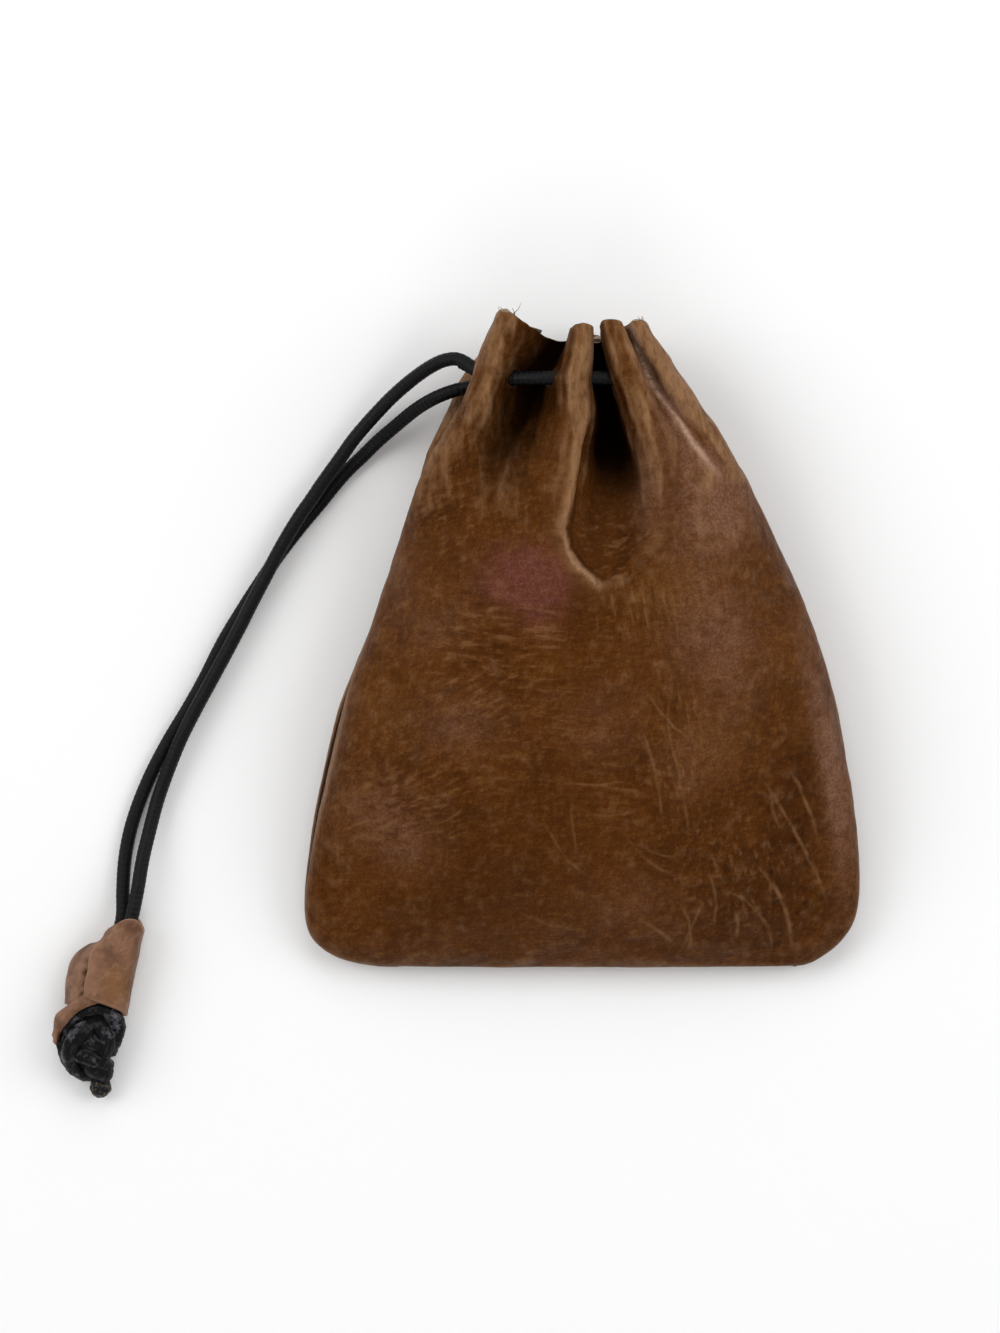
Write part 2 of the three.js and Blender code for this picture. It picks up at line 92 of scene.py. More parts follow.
# Valleys and crests of the neck in turn, from the left seam over the front and round the back.
FOLD_COLUMNS = ("across", "over", "rim_across", "rim_over", "belly", "start", "drop", "round")
FOLDS = dict(zip(FOLD_COLUMNS, np.array([
    (-0.5, 0.07, -0.45, 0.05, -1, 0.66, 0.5, 1.1),
    (-0.71, 0.7, -0.9, 0.62, -0.8, 0.7, 0, 1.5),
    (-0.29, 0.36, -0.1, 0.36, -0.46, 0.7, 0.88, 1),
    (0.05, 1, 0.15, 0.98, -0.12, 0.57, 0.4, 1),
    (0.24, 0.32, 0.32, 0.36, 0.1, 0.54, 0.9, 0.5),
    (0.46, 0.88, 0.5, 0.86, 0.46, 0.62, 0.26, 1.7),
    (0.6, 0.5, 0.62, 0.5, 0.75, 0.74, 0.45, 0.5),
    (0.85, 0.57, 0.9, 0.55, 0.9, 0.7, 0.3, 1.5),
    (0.55, 0, 0.55, 0, 1, 0.7, 0.6, 1),
    (0.72, -0.69, 0.72, -0.68, 0.75, 0.7, 0.62, 1),
    (0.4, -0.34, 0.46, -0.34, 0.5, 0.66, 0.72, 0.8),
    (0.19, -0.99, 0.29, -0.97, 0.2, 0.66, 0.56, 1),
    (-0.11, -0.34, 0.0, -0.34, -0.05, 0.66, 1, 0.7),
    (-0.45, -0.89, -0.42, -0.88, -0.36, 0.66, 0.85, 1),
    (-0.5, -0.28, -0.42, -0.28, -0.6, 0.7, 0.9, 0.7),
    (-0.82, -0.57, -0.9, -0.55, -0.82, 0.7, 0.45, 1),
]).T))
FOLD_COUNT = len(FOLDS["across"])


# Small helpers

def lerp(start, end, share):
    return start + (end - start) * share


def catmull(before, start, end, after, share):
    return 0.5 * (
        2 * start
        + (end - before) * share
        + (2 * before - 5 * start + 4 * end - after) * share ** 2
        + (3 * start - before - 3 * end + after) * share ** 3
    )


def ease(share):
    held = np.clip(share, 0, 1)
    return held * held * (3 - 2 * held)


def rise(value, low, high):
    """From 0 at low to 1 at high, smoothly. low may be the greater of the two."""
    return ease((value - low) / (high - low))


def bell(distance, width):
    return np.exp(-(distance / width) ** 2)


def unit(vectors):
    return vectors / np.maximum(np.linalg.norm(vectors, axis=-1, keepdims=True), 1e-9)


def noise_at(points, size, shift, octaves=2):
    """Smooth noise of about -1 to 1 at the points, in lumps of that size."""
    flat = points.reshape(-1, 3) / size + shift
    values = [noise.fractal(Vector(p), 1.0, 2.0, octaves) for p in flat]
    return np.array(values).reshape(points.shape[:-1])


def travelled(line):
    """How far each point lies along the line."""
    return np.concatenate([[0], np.cumsum(np.linalg.norm(np.diff(line, axis=0), axis=1))])


def points_at(stops, places, line):
    """The line's points at the stops, where places says where its own points are."""
    return np.stack([np.interp(stops, places, line[:, i]) for i in range(3)], axis=1)


def row_between(table, place):
    """What the table says between its rows, on the smooth curve through them."""
    last = len(table) - 1
    row = min(int(place), last - 1)
    near = [table[min(max(i, 0), last)] for i in range(row - 1, row + 3)]
    return catmull(*near, place - row)


def new_object(name, data):
    made = bpy.data.objects.new(name, data)
    bpy.context.scene.collection.objects.link(made)
    return made


def new_mesh(name, points, faces):
    """A mesh of points in millimetres."""
    mesh = bpy.data.meshes.new(name)
    mesh.from_pydata((np.reshape(points, (-1, 3)) * MM).tolist(), [], faces)
    return mesh


# Camera

LENS = 200.0
SENSOR = 36.0
PHOTO_PER_MM = 6.19  # pixels of the photograph to a millimetre of the purse's outline
PHOTO_SIZE = (1000, 1333)
PHOTO_MIDDLE = (-13.25, -3.87)  # what lies at the middle of the photograph
OUTLINE_HEIGHT = 8.0  # of the purse's outline above the surface

camera_data = bpy.data.cameras.new("camera")
camera_data.lens = LENS
camera_data.sensor_width = SENSOR
camera_data.clip_end = 10.0
camera = new_object("camera", camera_data)
camera_distance = PHOTO_SIZE[1] / PHOTO_PER_MM * LENS / SENSOR
camera.location = [v * MM for v in (*PHOTO_MIDDLE, OUTLINE_HEIGHT + camera_distance)]
bpy.context.scene.camera = camera


# Meshes

def add_mesh(name, points, faces, materials, face_materials=None, values=None):
    """A piece that rides on the purse. The values are those of its first points; the rest have 0."""
    mesh = new_mesh(name, points, faces)
    for material in materials:
        mesh.materials.append(material)
    if face_materials is not None:
        mesh.polygons.foreach_set("material_index", face_materials)
    mesh.polygons.foreach_set("use_smooth", [True] * len(mesh.polygons))
    for value_name, numbers in (values or {}).items():
        padded = np.zeros(len(mesh.vertices), dtype=np.float32)
        padded[:np.size(numbers)] = np.ravel(numbers)
        attribute = mesh.attributes.new(value_name, "FLOAT", "POINT")
        attribute.data.foreach_set("value", padded)
    mesh.validate()
    mesh.update()
    piece = new_object(name, mesh)
    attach(piece, "root")
    return piece


def grid_faces(rows, columns, first=0, closed=False, flip=False):
    """Four-sided faces between the points of a grid; closed joins its last column to its first."""
    faces = []
    for i in range(rows - 1):
        for j in range(columns if closed else columns - 1):
            k = (j + 1) % columns
            face = (
                first + i * columns + j,
                first + i * columns + k,
                first + (i + 1) * columns + k,
                first + (i + 1) * columns + j,
            )
            faces.append(face[::-1] if flip else face)
    return faces


# Node materials

class Paint:
    """One material: its node tree, and the colour and the relief in millimetres laid on so far."""

    def __init__(self, name):
        self.material = bpy.data.materials.new(name)
        self.material.use_nodes = True
        self.tree = self.material.node_tree
        self.tree.nodes.clear()
        output = self.tree.nodes.new("ShaderNodeOutputMaterial")
        self.shader = self.tree.nodes.new("ShaderNodeBsdfPrincipled")
        self.tree.links.new(self.shader.outputs["BSDF"], output.inputs["Surface"])
        self.colour = None
        self.relief = 0.0

    def connect(self, value, socket):
        if isinstance(value, bpy.types.NodeSocket):
            self.tree.links.new(value, socket)
        else:
            socket.default_value = value

    def node(self, kind, inputs, **settings):
        made = self.tree.nodes.new("ShaderNode" + kind)
        for name, value in settings.items():
            setattr(made, name, value)
        for name, value in inputs.items():
            self.connect(value, made.inputs[name])
        return made

    def math(self, operation, first, second=0.0, clamp=False):
        return self.node("Math", {0: first, 1: second}, operation=operation, use_clamp=clamp).outputs[0]

    def times(self, first, second, clamp=False):
        return self.math("MULTIPLY", first, second, clamp)

    def vector(self, operation, first, second=(0, 0, 0), output="Vector"):
        return self.node("VectorMath", {0: first, 1: second}, operation=operation).outputs[output]

    def remap(self, value, low, high, to_low=0.0, to_high=1.0):
        sockets = {"Value": value, "From Min": low, "From Max": high, "To Min": to_low, "To Max": to_high}
        return self.node("MapRange", sockets, interpolation_type="SMOOTHSTEP").outputs[0]

    def place(self, stretch=(1, 1, 1), turn=0.0):
        """Places on the piece in millimetres, stretched and turned for a pattern that runs one way."""
        place = self.node("TexCoord", {}).outputs["Object"]
        turn = (0, 0, math.radians(turn))
        sockets = {"Vector": place, "Scale": [MM / s for s in stretch], "Rotation": turn}
        return self.node("Mapping", sockets, vector_type="TEXTURE").outputs[0]

    def noise(self, place, size, detail=3.0, roughness=0.55):
        sockets = {"Vector": place, "Scale": 1 / size, "Detail": detail, "Roughness": roughness}
        return self.node("TexNoise", sockets).outputs[0]

    def cells(self, place, size, feature="F1"):
        sockets = {"Vector": place, "Scale": 1 / size}
        return self.node("TexVoronoi", sockets, feature=feature).outputs["Distance"]

    def value(self, name):
        """A value that the mesh carries."""
        return self.node("Attribute", {}, attribute_name=name).outputs["Fac"]

    def warped(self, place, size, reach):
        """Places shifted by noise, so that a pattern loses its straight lines."""
        drift = self.node("TexNoise", {"Vector": place, "Scale": 1 / size, "Detail": 2.0}).outputs["Color"]
        centred = self.vector("SUBTRACT", drift, (0.5, 0.5, 0.5))
        return self.vector("ADD", place, self.vector("MULTIPLY", centred, (reach, reach, reach)))

    def over(self, colour, share):
        """Lays a colour over what is there."""
        made = self.node("Mix", {}, data_type="RGBA")
        for value, index in ((share, 0), (self.colour, 6), (colour, 7)):
            self.connect(value, made.inputs[index])
        self.colour = made.outputs[2]

    def lift(self, pattern, amount):
        """Raises the surface by the pattern times an amount in millimetres."""
        self.relief = self.math("ADD", self.relief, self.times(pattern, amount))

    def finish(self, roughness, bump, constants):
        """Joins colour, roughness and relief to the shader, and sets what is the same all over."""
        self.tree.links.new(self.colour, self.shader.inputs["Base Color"])
        self.tree.links.new(roughness, self.shader.inputs["Roughness"])
        for name, value in constants.items():
            self.shader.inputs[name].default_value = value
        made = self.node("Bump", {"Height": self.relief, "Distance": MM, "Strength": bump})
        self.tree.links.new(made.outputs[0], self.shader.inputs["Normal"])
        return self.material


# Waxed pouch leather: mottled brown, lighter where it is bent, rubbed or creased; with painted sheen and
# painted highlights, and painted shade in its deep folds and along the back's left edge

LEATHER_DARK = (0.042, 0.0104, 0.0013, 1)
LEATHER_MID = (0.084, 0.0232, 0.0030, 1)
LEATHER_OCHRE = (0.140, 0.052, 0.0100, 1)
LEATHER_PALE = (0.260, 0.140, 0.068, 1)
# Painted sheen: a pale, greyish painted reflection
LEATHER_SHEEN = (0.185, 0.090, 0.056, 1)
# Pale lines of creases and wrinkle crests; also the painted highlights along the pocket's edge and the
# front's left edge
LEATHER_LINE = (0.240, 0.120, 0.054, 1)
# Painted highlight
LEATHER_LIT = (0.46, 0.30, 0.215, 1)
# Dark furrows, cells and wrinkle valleys; also the painted shadow along the back's left edge
LEATHER_FURROW_AND_SHADOW = (0.024, 0.0062, 0.0010, 1)
# Painted shade in the deep folds, nearly black
LEATHER_PAINTED_SHADE = (0.0018, 0.0006, 0.0002, 1)
LEATHER_MAUVE = (0.150, 0.046, 0.044, 1)
LEATHER_GLOSS_TINT = (1.0, 0.46, 0.14, 1)

# Creases of the front, seen from above: start, middle and end of an arc, its width and how light it is
CREASES = [
    ((28.0, -35.7), (32.6, -42.5), (33.9, -49.0), 0.34, 0.95),
    ((30.5, -24.6), (34.1, -30.4), (39.2, -41.0), 0.3, 0.7),
    ((28.3, -43.4), (30.1, -46.2), (30.6, -50.4), 0.28, 0.6),
    ((32.9, -20.3), (36.0, -26.0), (37.8, -31.8), 0.32, 0.8),
    ((36.8, -34.6), (38.3, -38.4), (39.7, -42.3), 0.26, 0.5),
    ((9.8, -44.8), (12.4, -46.4), (15.3, -48.7), 0.32, 0.75),
    ((16.1, -42.7), (17.4, -46.0), (16.8, -50.8), 0.28, 0.6),
    ((24.5, -43.4), (25.0, -45.5), (24.5, -48.3), 0.3, 0.7),
    ((23.4, -40.2), (26.2, -41.6), (28.0, -43.4), 0.26, 0.5),
    ((20.0, -41.4), (18.0, -45.0), (16.6, -49.2), 0.26, 0.5),
    ((9.4, -31.8), (12.0, -34.0), (15.3, -34.3), 0.26, 0.4),
    ((-1.5, -22.4), (1.7, -22.9), (5.6, -22.5), 0.24, 0.4),
    ((0.2, -27.4), (5.2, -27.6), (10.1, -26.4), 0.24, 0.4),
    ((9.2, -13.0), (11.6, -21.3), (12.9, -31.1), 0.3, 0.55),
    ((12.9, -12.0), (15.4, -21.5), (17.1, -31.4), 0.28, 0.5),
    ((9.6, -7.3), (14.2, -13.2), (18.6, -16.8), 0.28, 0.5),
    ((6.8, -31.0), (10.4, -34.8), (14.3, -37.5), 0.28, 0.45),
    ((30.0, -24.1), (30.6, -27.3), (31.8, -30.4), 0.28, 0.5),
    ((-38.5, -30.4), (-34.3, -28.6), (-29.9, -28.7), 0.28, 0.35),
    ((-22.0, -28.7), (-20.5, -27.7), (-19.4, -26.5), 0.26, 0.35),
    ((-9.9, -43.4), (-4.5, -45.6), (0.5, -46.4), 0.28, 0.3),
    ((-6.0, -29.0), (-3.2, -33.8), (0.6, -37.5), 0.28, 0.4),
    ((-1.7, -25.3), (-1.6, -29.5), (-0.7, -33.8), 0.26, 0.35),
    ((20.2, -36.6), (21.4, -41.5), (21.2, -46.2), 0.26, 0.5),
]


def circle_through(a, b, c):
    """Middle and radius of the circle through three places."""
    double_area = 2 * (a[0] * (b[1] - c[1]) + b[0] * (c[1] - a[1]) + c[0] * (a[1] - b[1]))
    squares = [p[0] ** 2 + p[1] ** 2 for p in (a, b, c)]
    x = (squares[0] * (b[1] - c[1]) + squares[1] * (c[1] - a[1]) + squares[2] * (a[1] - b[1])) / double_area
    y = (squares[0] * (c[0] - b[0]) + squares[1] * (a[0] - c[0]) + squares[2] * (b[0] - a[0])) / double_area
    return (x, y, 0), math.dist((x, y), a)


def crease_lines(paint, place):
    """Share of the creases' light lines, each an arc that fades towards its ends."""
    flat = paint.vector("MULTIPLY", paint.warped(place, 3.5, 0.9), (1, 1, 0))
    total = 0.0
    for start, middle, end, width, amount in CREASES:
        centre, radius = circle_through(start, middle, end)
        reach = paint.vector("DISTANCE", flat, centre, "Value")
        off = paint.math("ABSOLUTE", paint.math("SUBTRACT", reach, radius))
        along = paint.vector("DISTANCE", flat, (*middle, 0), "Value")
        half = math.dist(start, end) / 2
        near = paint.remap(off, 1.6 * width, 0.0, 0.0, amount)
        share = paint.times(near, paint.remap(along, half * 1.25, half * 0.35))
        total = paint.math("MAXIMUM", total, share)
    return total


# Fine wrinkles: the value that says where they are, their stretch and their direction in degrees
WRINKLE_SETS = [
    ("level", (0.16, 1, 1), -5),
    ("upright", (0.2, 1, 1), 101),
    ("slanting", (0.2, 1, 1), 24),
]
WRINKLE_SIZE = 0.85


def wrinkle_waves(paint):
    """Heights of the fine wrinkles, about -0.2 to 0.2."""
    total = 0.0
    for value_name, stretch, turn in WRINKLE_SETS:
        place = paint.warped(paint.place(stretch, turn), 2.0, 0.8)
        waves = paint.math("SUBTRACT", paint.noise(place, WRINKLE_SIZE, 2.0, 0.5), 0.5)
        total = paint.math("ADD", total, paint.times(waves, paint.value(value_name)))
    return total


def pouch_leather_material(name, gloss):
    """The leather's layers of colour from the lowest up, then its relief."""
    paint = Paint(name)
    place = paint.place()
    soft_place = paint.warped(place, 6.0, 2.0)
    paint.colour = LEATHER_DARK
    paint.over(LEATHER_MID, paint.remap(paint.noise(soft_place, 11.0, 8.0, 0.68), 0.34, 0.64))
    streaks = paint.noise(paint.place((0.24, 1, 1), 74), 0.9, 6.0, 0.74)
    cross_streaks = paint.noise(paint.place((0.3, 1, 1), 8), 0.8, 6.0, 0.74)
    brushed = paint.times(paint.math("ADD", streaks, cross_streaks), 0.5)
    paint.over(LEATHER_OCHRE, paint.remap(brushed, 0.46, 0.64, 0, 0.75))
    paint.over(LEATHER_DARK, paint.remap(brushed, 0.5, 0.36, 0, 0.6))

    worn = paint.value("worn")
    paint.over(LEATHER_OCHRE, paint.remap(worn, 0, 1, 0, 0.8))
    paint.over(LEATHER_DARK, paint.remap(worn, 0, -1, 0, 0.85))
    # Painted sheen on pale places, and a painted reflection along the right edge
    cloudy = paint.remap(paint.noise(soft_place, 2.2, 5.0, 0.7), 0.32, 0.66, 0.35, 1.0)
    paint.over(LEATHER_SHEEN, paint.times(paint.value("sheen"), cloudy, clamp=True))
    ragged = paint.remap(paint.noise(soft_place, 1.6, 5.0, 0.7), 0.3, 0.62, 0.45, 1.0)
    paint.over(LEATHER_MAUVE, paint.times(paint.value("mauve"), ragged, clamp=True))

    grain = paint.cells(paint.warped(place, 0.9, 0.3), 0.44)
    paint.over(LEATHER_DARK, paint.times(paint.remap(grain, 0.22, 0.72), 0.42))
    paint.over(LEATHER_OCHRE, paint.remap(paint.noise(place, 0.42, 3.0, 0.75), 0.48, 0.74, 0, 0.4))
    cells = paint.cells(paint.warped(paint.place((0.7, 1, 1), 70), 2.4, 1.4), 1.0, "SMOOTH_F1")
    patchy = paint.remap(paint.noise(soft_place, 3.0, 3.0), 0.38, 0.6)
    dark_cells = paint.times(paint.remap(cells, 0.56, 0.2), paint.times(paint.value("crackle"), patchy))
    paint.over(LEATHER_FURROW_AND_SHADOW, paint.times(dark_cells, 0.8))

    waves = wrinkle_waves(paint)
    paint.over(LEATHER_LINE, paint.remap(waves, 0.0, 0.22, 0, 0.32))
    paint.over(LEATHER_FURROW_AND_SHADOW, paint.remap(waves, 0.0, -0.22, 0, 0.5))
    lines = paint.times(crease_lines(paint, place), paint.value("lined"))
    unsteady = paint.remap(paint.noise(place, 2.5, 3.0, 0.6), 0.3, 0.62, 0.18, 0.64)
    paint.over(LEATHER_LINE, paint.times(lines, unsteady))
    broken = paint.remap(paint.noise(place, 0.8, 4.0, 0.7), 0.3, 0.6, 0.35, 1.0)
    # Dark streaks along the neck's folds, and the painted shadow along the back's left edge
    furrow_and_shadow = paint.times(paint.value("furrow_and_shadow"), broken)
    paint.over(LEATHER_FURROW_AND_SHADOW, furrow_and_shadow)
    # Pale line along the pocket's edge, partly worn and partly a painted highlight, and a painted highlight
    # along the front's left edge
    paint.over(LEATHER_LINE, paint.times(paint.value("worn_line_and_highlight"), broken))
    rubbed = paint.remap(paint.noise(paint.place((1, 0.3, 1)), 0.8, 4.0, 0.7), 0.3, 0.62, 0.3, 1.0)
    paint.over(LEATHER_PALE, paint.times(paint.times(paint.value("bend_and_painted_light"), rubbed), 0.9))
    # Painted highlights along the right fold's edge and at the foot of the pocket's wall
    paint.over(LEATHER_LIT, paint.times(paint.value("lit"), broken))
    # Painted shade in the deep folds; the leather is also rougher there
    painted_shade = paint.value("painted_shade")
    paint.over(LEATHER_PAINTED_SHADE, painted_shade)

    fine = paint.noise(place, 0.35, 3.0, 0.6)
    heights = [(grain, -0.05), (brushed, 0.12), (dark_cells, -0.05), (waves, 0.26), (lines, 0.08)]
    for pattern, amount in heights + [(furrow_and_shadow, -0.08), (fine, 0.05)]:
        paint.lift(pattern, amount)
    rough = paint.remap(paint.noise(soft_place, 3.0, 4.0), 0.3, 0.7, 0.42, 0.58)
    constants = {"Specular IOR Level": gloss, "Specular Tint": LEATHER_GLOSS_TINT}
    return paint.finish(paint.math("MAXIMUM", rough, painted_shade), 0.9, constants)


# The leather's rough inside and its raw cut edge

SUEDE_DARK = (0.035, 0.018, 0.010, 1)
SUEDE_LIGHT = (0.11, 0.062, 0.034, 1)
RAW_BROWN = (0.085, 0.040, 0.018, 1)
RAW_BEIGE = (0.52, 0.38, 0.23, 1)


def fibre_material(name, dark, light, shown=None):
    """Fuzzy leather; shown names the value that says where its light fibres show."""
    paint = Paint(name)
    place = paint.place()
    nap = paint.noise(place, 0.3, 4.0, 0.7)
    share = paint.remap(nap, 0.35, 0.65)
    if shown:
        share = paint.times(share, paint.value(shown), clamp=True)
    paint.colour = dark
    paint.over(light, share)
    paint.over(dark, paint.remap(paint.noise(place, 4.0), 0.3, 0.7, 0, 0.4))
    paint.lift(nap, 0.12)
    rough = paint.remap(nap, 0.3, 0.7, 0.8, 0.95)
    return paint.finish(rough, 0.8, {"Specular IOR Level": 0.2, "Sheen Weight": 0.15})


# Plain tan leather of the slide, with painted light and painted shade

TAN = (0.205, 0.095, 0.050, 1)
TAN_DARK = (0.10, 0.040, 0.017, 1)
TAN_PALE = (0.34, 0.19, 0.115, 1)
TAN_OCHRE = (0.20, 0.085, 0.022, 1)
TAN_OCHRE_MIDDLE = (-75.4, -55.5, 0.0)


def slide_leather_material():
    paint = Paint("slide_leather")
    place = paint.place()
    cloud = paint.remap(paint.noise(paint.warped(place, 3.0, 1.2), 3.4, 5.0, 0.6), 0.35, 0.68)
    paint.colour = TAN
    paint.over(TAN_DARK, cloud)
    away = paint.vector("MULTIPLY", paint.vector("SUBTRACT", place, TAN_OCHRE_MIDDLE), (1, 0.7, 0))
    paint.over(TAN_OCHRE, paint.remap(paint.vector("LENGTH", away, output="Value"), 3.4, 0.6, 0, 0.8))
    streaks = paint.noise(paint.place((0.4, 1, 1), 50), 1.0, 3.0, 0.6)
    paint.over(TAN_PALE, paint.remap(streaks, 0.44, 0.7, 0, 0.42))
    grain = paint.cells(paint.warped(place, 0.5, 0.2), 0.28)
    paint.over(TAN_DARK, paint.remap(grain, 0.3, 0.9, 0, 0.3))
    # Pale cut edges and painted light on the upper left, then painted shade in the awl holes and on the right
    # side
    paint.over(TAN_PALE, paint.value("bend_and_painted_light"))
    paint.over(TAN_DARK, paint.value("painted_shade"))
    paint.lift(grain, -0.04)
    paint.lift(streaks, 0.08)
    return paint.finish(paint.remap(cloud, 0, 1, 0.5, 0.62), 0.8, {"Specular IOR Level": 0.3})


# Black waxed cotton cord, finely braided

CORD_BLACK = (0.0025, 0.0025, 0.003, 1)
CORD_WORN = (0.012, 0.012, 0.0145, 1)
CORD_BROWN = (0.12, 0.085, 0.03, 1)
# Pale grey of the painted glints on the knot
CORD_GLINT = (0.20, 0.195, 0.225, 1)
DENTS_IN_WAX = 14  # depth of the dents in a thick coat of wax, to that of its fibres


def cord_material(name, rough=(0.4, 0.62), gloss=0.12, wax=0.04, fuzz=0.05, dust=0.8, specks=0.0, painted_glints=0.0):
    """Cord with a coat of wax; its pale grey patches are painted glints, a painted highlight."""
    paint = Paint(name)
    place = paint.place()
    threads = paint.value("braid")
    dusty = paint.noise(place, 0.5, 4.0, 0.7)
    raised = paint.remap(threads, -1, 1, 0.15 * dust, dust)
    paint.colour = CORD_BLACK
    paint.over(CORD_WORN, paint.times(paint.remap(dusty, 0.35, 0.7), raised))
    # Pale grey patches painted on as glints: a painted highlight
    if painted_glints:
        patches = paint.noise(paint.warped(place, 1.6, 0.8), 2.6, 4.0, 0.66)
        paint.over(CORD_GLINT, paint.remap(patches, 0.53, 0.74, 0, painted_glints))
    if specks:
        spots = paint.cells(paint.warped(place, 0.6, 0.4), 0.55)
        paint.over(CORD_BROWN, paint.times(paint.remap(spots, 0.42, 0.16), specks))
    paint.lift(threads, 0.02)
    paint.lift(paint.noise(place, 0.16, 3.0, 0.7), fuzz)
    paint.lift(paint.noise(place, 0.9, 3.0, 0.6), DENTS_IN_WAX * wax * fuzz)
    constants = {"Specular IOR Level": gloss, "Coat Weight": wax, "Coat Roughness": 0.16}
    return paint.finish(paint.remap(dusty, 0.3, 0.7, *rough), 0.7, constants)


pouch_leather = pouch_leather_material("pouch_leather", 0.2)
# Copies of the leather with less gloss and with none, for the faces under the painted shade of the deep folds
shaded_leather = pouch_leather_material("shaded_leather", 0.1)
deep_shade_leather = pouch_leather_material("deep_shade_leather", 0.0)
suede = fibre_material("pouch_inside", SUEDE_DARK, SUEDE_LIGHT)
raw_edge = fibre_material("raw_edge", RAW_BROWN, RAW_BEIGE, "raw")
slide_leather = slide_leather_material()
black_cord = cord_material("black_cord")
knot_cord = cord_material("knot_cord", (0.5, 0.7), 0.05, wax=0.2, fuzz=0.12, dust=0.3, painted_glints=0.55)
sealed_cord = cord_material("sealed_cord", (0.4, 0.6), 0.1, wax=0.25, fuzz=0.12, dust=0.6, specks=0.8)


# Cords

CORD_RADIUS = CORD_DIAMETER / 2
BRAID_DEPTH = 0.045
BRAID_ROUND = 4  # half of the braid's lumps round the cord
BRAID_PITCH = 0.9  # along the cord
RING_STEP = 0.2
RING_SIDES = 32


def span(a, b, c, d, shares):
    """Points from b to c on the smooth curve through four points."""
    at_b = math.sqrt(np.linalg.norm(b - a))
    at_c = at_b + math.sqrt(np.linalg.norm(c - b))
    at_d = at_c + math.sqrt(np.linalg.norm(d - c))
    t = lerp(at_b, at_c, shares)[:, None]
    ab = lerp(a, b, t / at_b)
    bc = lerp(b, c, (t - at_b) / (at_c - at_b))
    cd = lerp(c, d, (t - at_c) / (at_d - at_c))
    abc = lerp(ab, bc, t / at_c)
    bcd = lerp(bc, cd, (t - at_b) / (at_d - at_b))
    return lerp(abc, bcd, (t - at_b) / (at_c - at_b))


def smooth_line(points, step):
    """The smooth curve through the points, as points that lie one step apart."""
    points = np.asarray(points, dtype=float)
    ends = [2 * points[0] - points[1], *points, 2 * points[-1] - points[-2]]
    shares = np.linspace(0, 1, 24, endpoint=False)
    dense = np.vstack([span(*ends[i:i + 4], shares) for i in range(len(points) - 1)] + [points[-1:]])
    travel = travelled(dense)
    stops = np.linspace(0, travel[-1], max(2, round(travel[-1] / step)) + 1)
    return points_at(stops, travel, dense)


def carried_frames(line):
    """Two directions across the line at each of its points, carried along without a twist."""
    ahead = unit(np.gradient(line, axis=0))
    side = np.cross(ahead[0], (0.0, 0.3, 1.0))
    sides = []
    for direction in ahead:
        side = side - direction * np.dot(side, direction)
        side = side / np.linalg.norm(side)
        sides.append(side)
    sides = np.array(sides)
    return sides, np.cross(ahead, sides)


def braided_tube(line, radius, sides=RING_SIDES, depth=BRAID_DEPTH):
    """Rings of points round a line, with the relief of a braid, closed at both ends."""
    across, over = carried_frames(line)
    travel = travelled(line)
    angles = np.linspace(0, 2 * math.pi, sides, endpoint=False)
    turn, run = np.meshgrid(angles, travel * math.pi / BRAID_PITCH)
    braid = np.cos(BRAID_ROUND * turn + run) * np.cos(BRAID_ROUND * turn - run)
    reach = np.broadcast_to(np.asarray(radius, dtype=float), travel.shape)[:, None] + depth * braid
    rings = line[:, None] + reach[..., None] * (
        np.cos(turn)[..., None] * across[:, None] + np.sin(turn)[..., None] * over[:, None]
    )
    points = rings.reshape(-1, 3)
    faces = grid_faces(len(line), sides, closed=True)
    first, last = len(points), len(points) + 1
    tip = (len(line) - 1) * sides
    faces += [(first, (j + 1) % sides, j) for j in range(sides)]
    faces += [(last, tip + j, tip + (j + 1) % sides) for j in range(sides)]
    points = np.vstack([points, line[0], line[-1]])
    return points, faces, np.concatenate([braid.ravel(), [0, 0]])


def joined(parts):
    """Points, faces and braid of several tubes as one."""
    points = []
    faces = []
    braids = []
    count = 0
    for part_points, part_faces, part_braid in parts:
        points.append(part_points)
        faces += [tuple(i + count for i in face) for face in part_faces]
        braids.append(part_braid)
        count += len(part_points)
    return np.vstack(points), faces, np.concatenate(braids)


def section_at(place):
    section = dict(zip(SECTION_COLUMNS, row_between(SECTIONS, place)))
    section["left"] *= -POUCH_WIDTH / 2
    section["right"] *= POUCH_WIDTH / 2
    for name in ("seam", "front", "back"):
        section[name] *= BELLY_DEPTH
    return section


hole_section = section_at(HOLE_PLACE)
NECK_LEFT = hole_section["left"]
NECK_MIDDLE = (hole_section["right"] + hole_section["left"]) / 2
NECK_OVAL = ((hole_section["right"] - hole_section["left"]) / 2 - CORD_INSET, NECK_DEPTH / 2 - CORD_INSET)

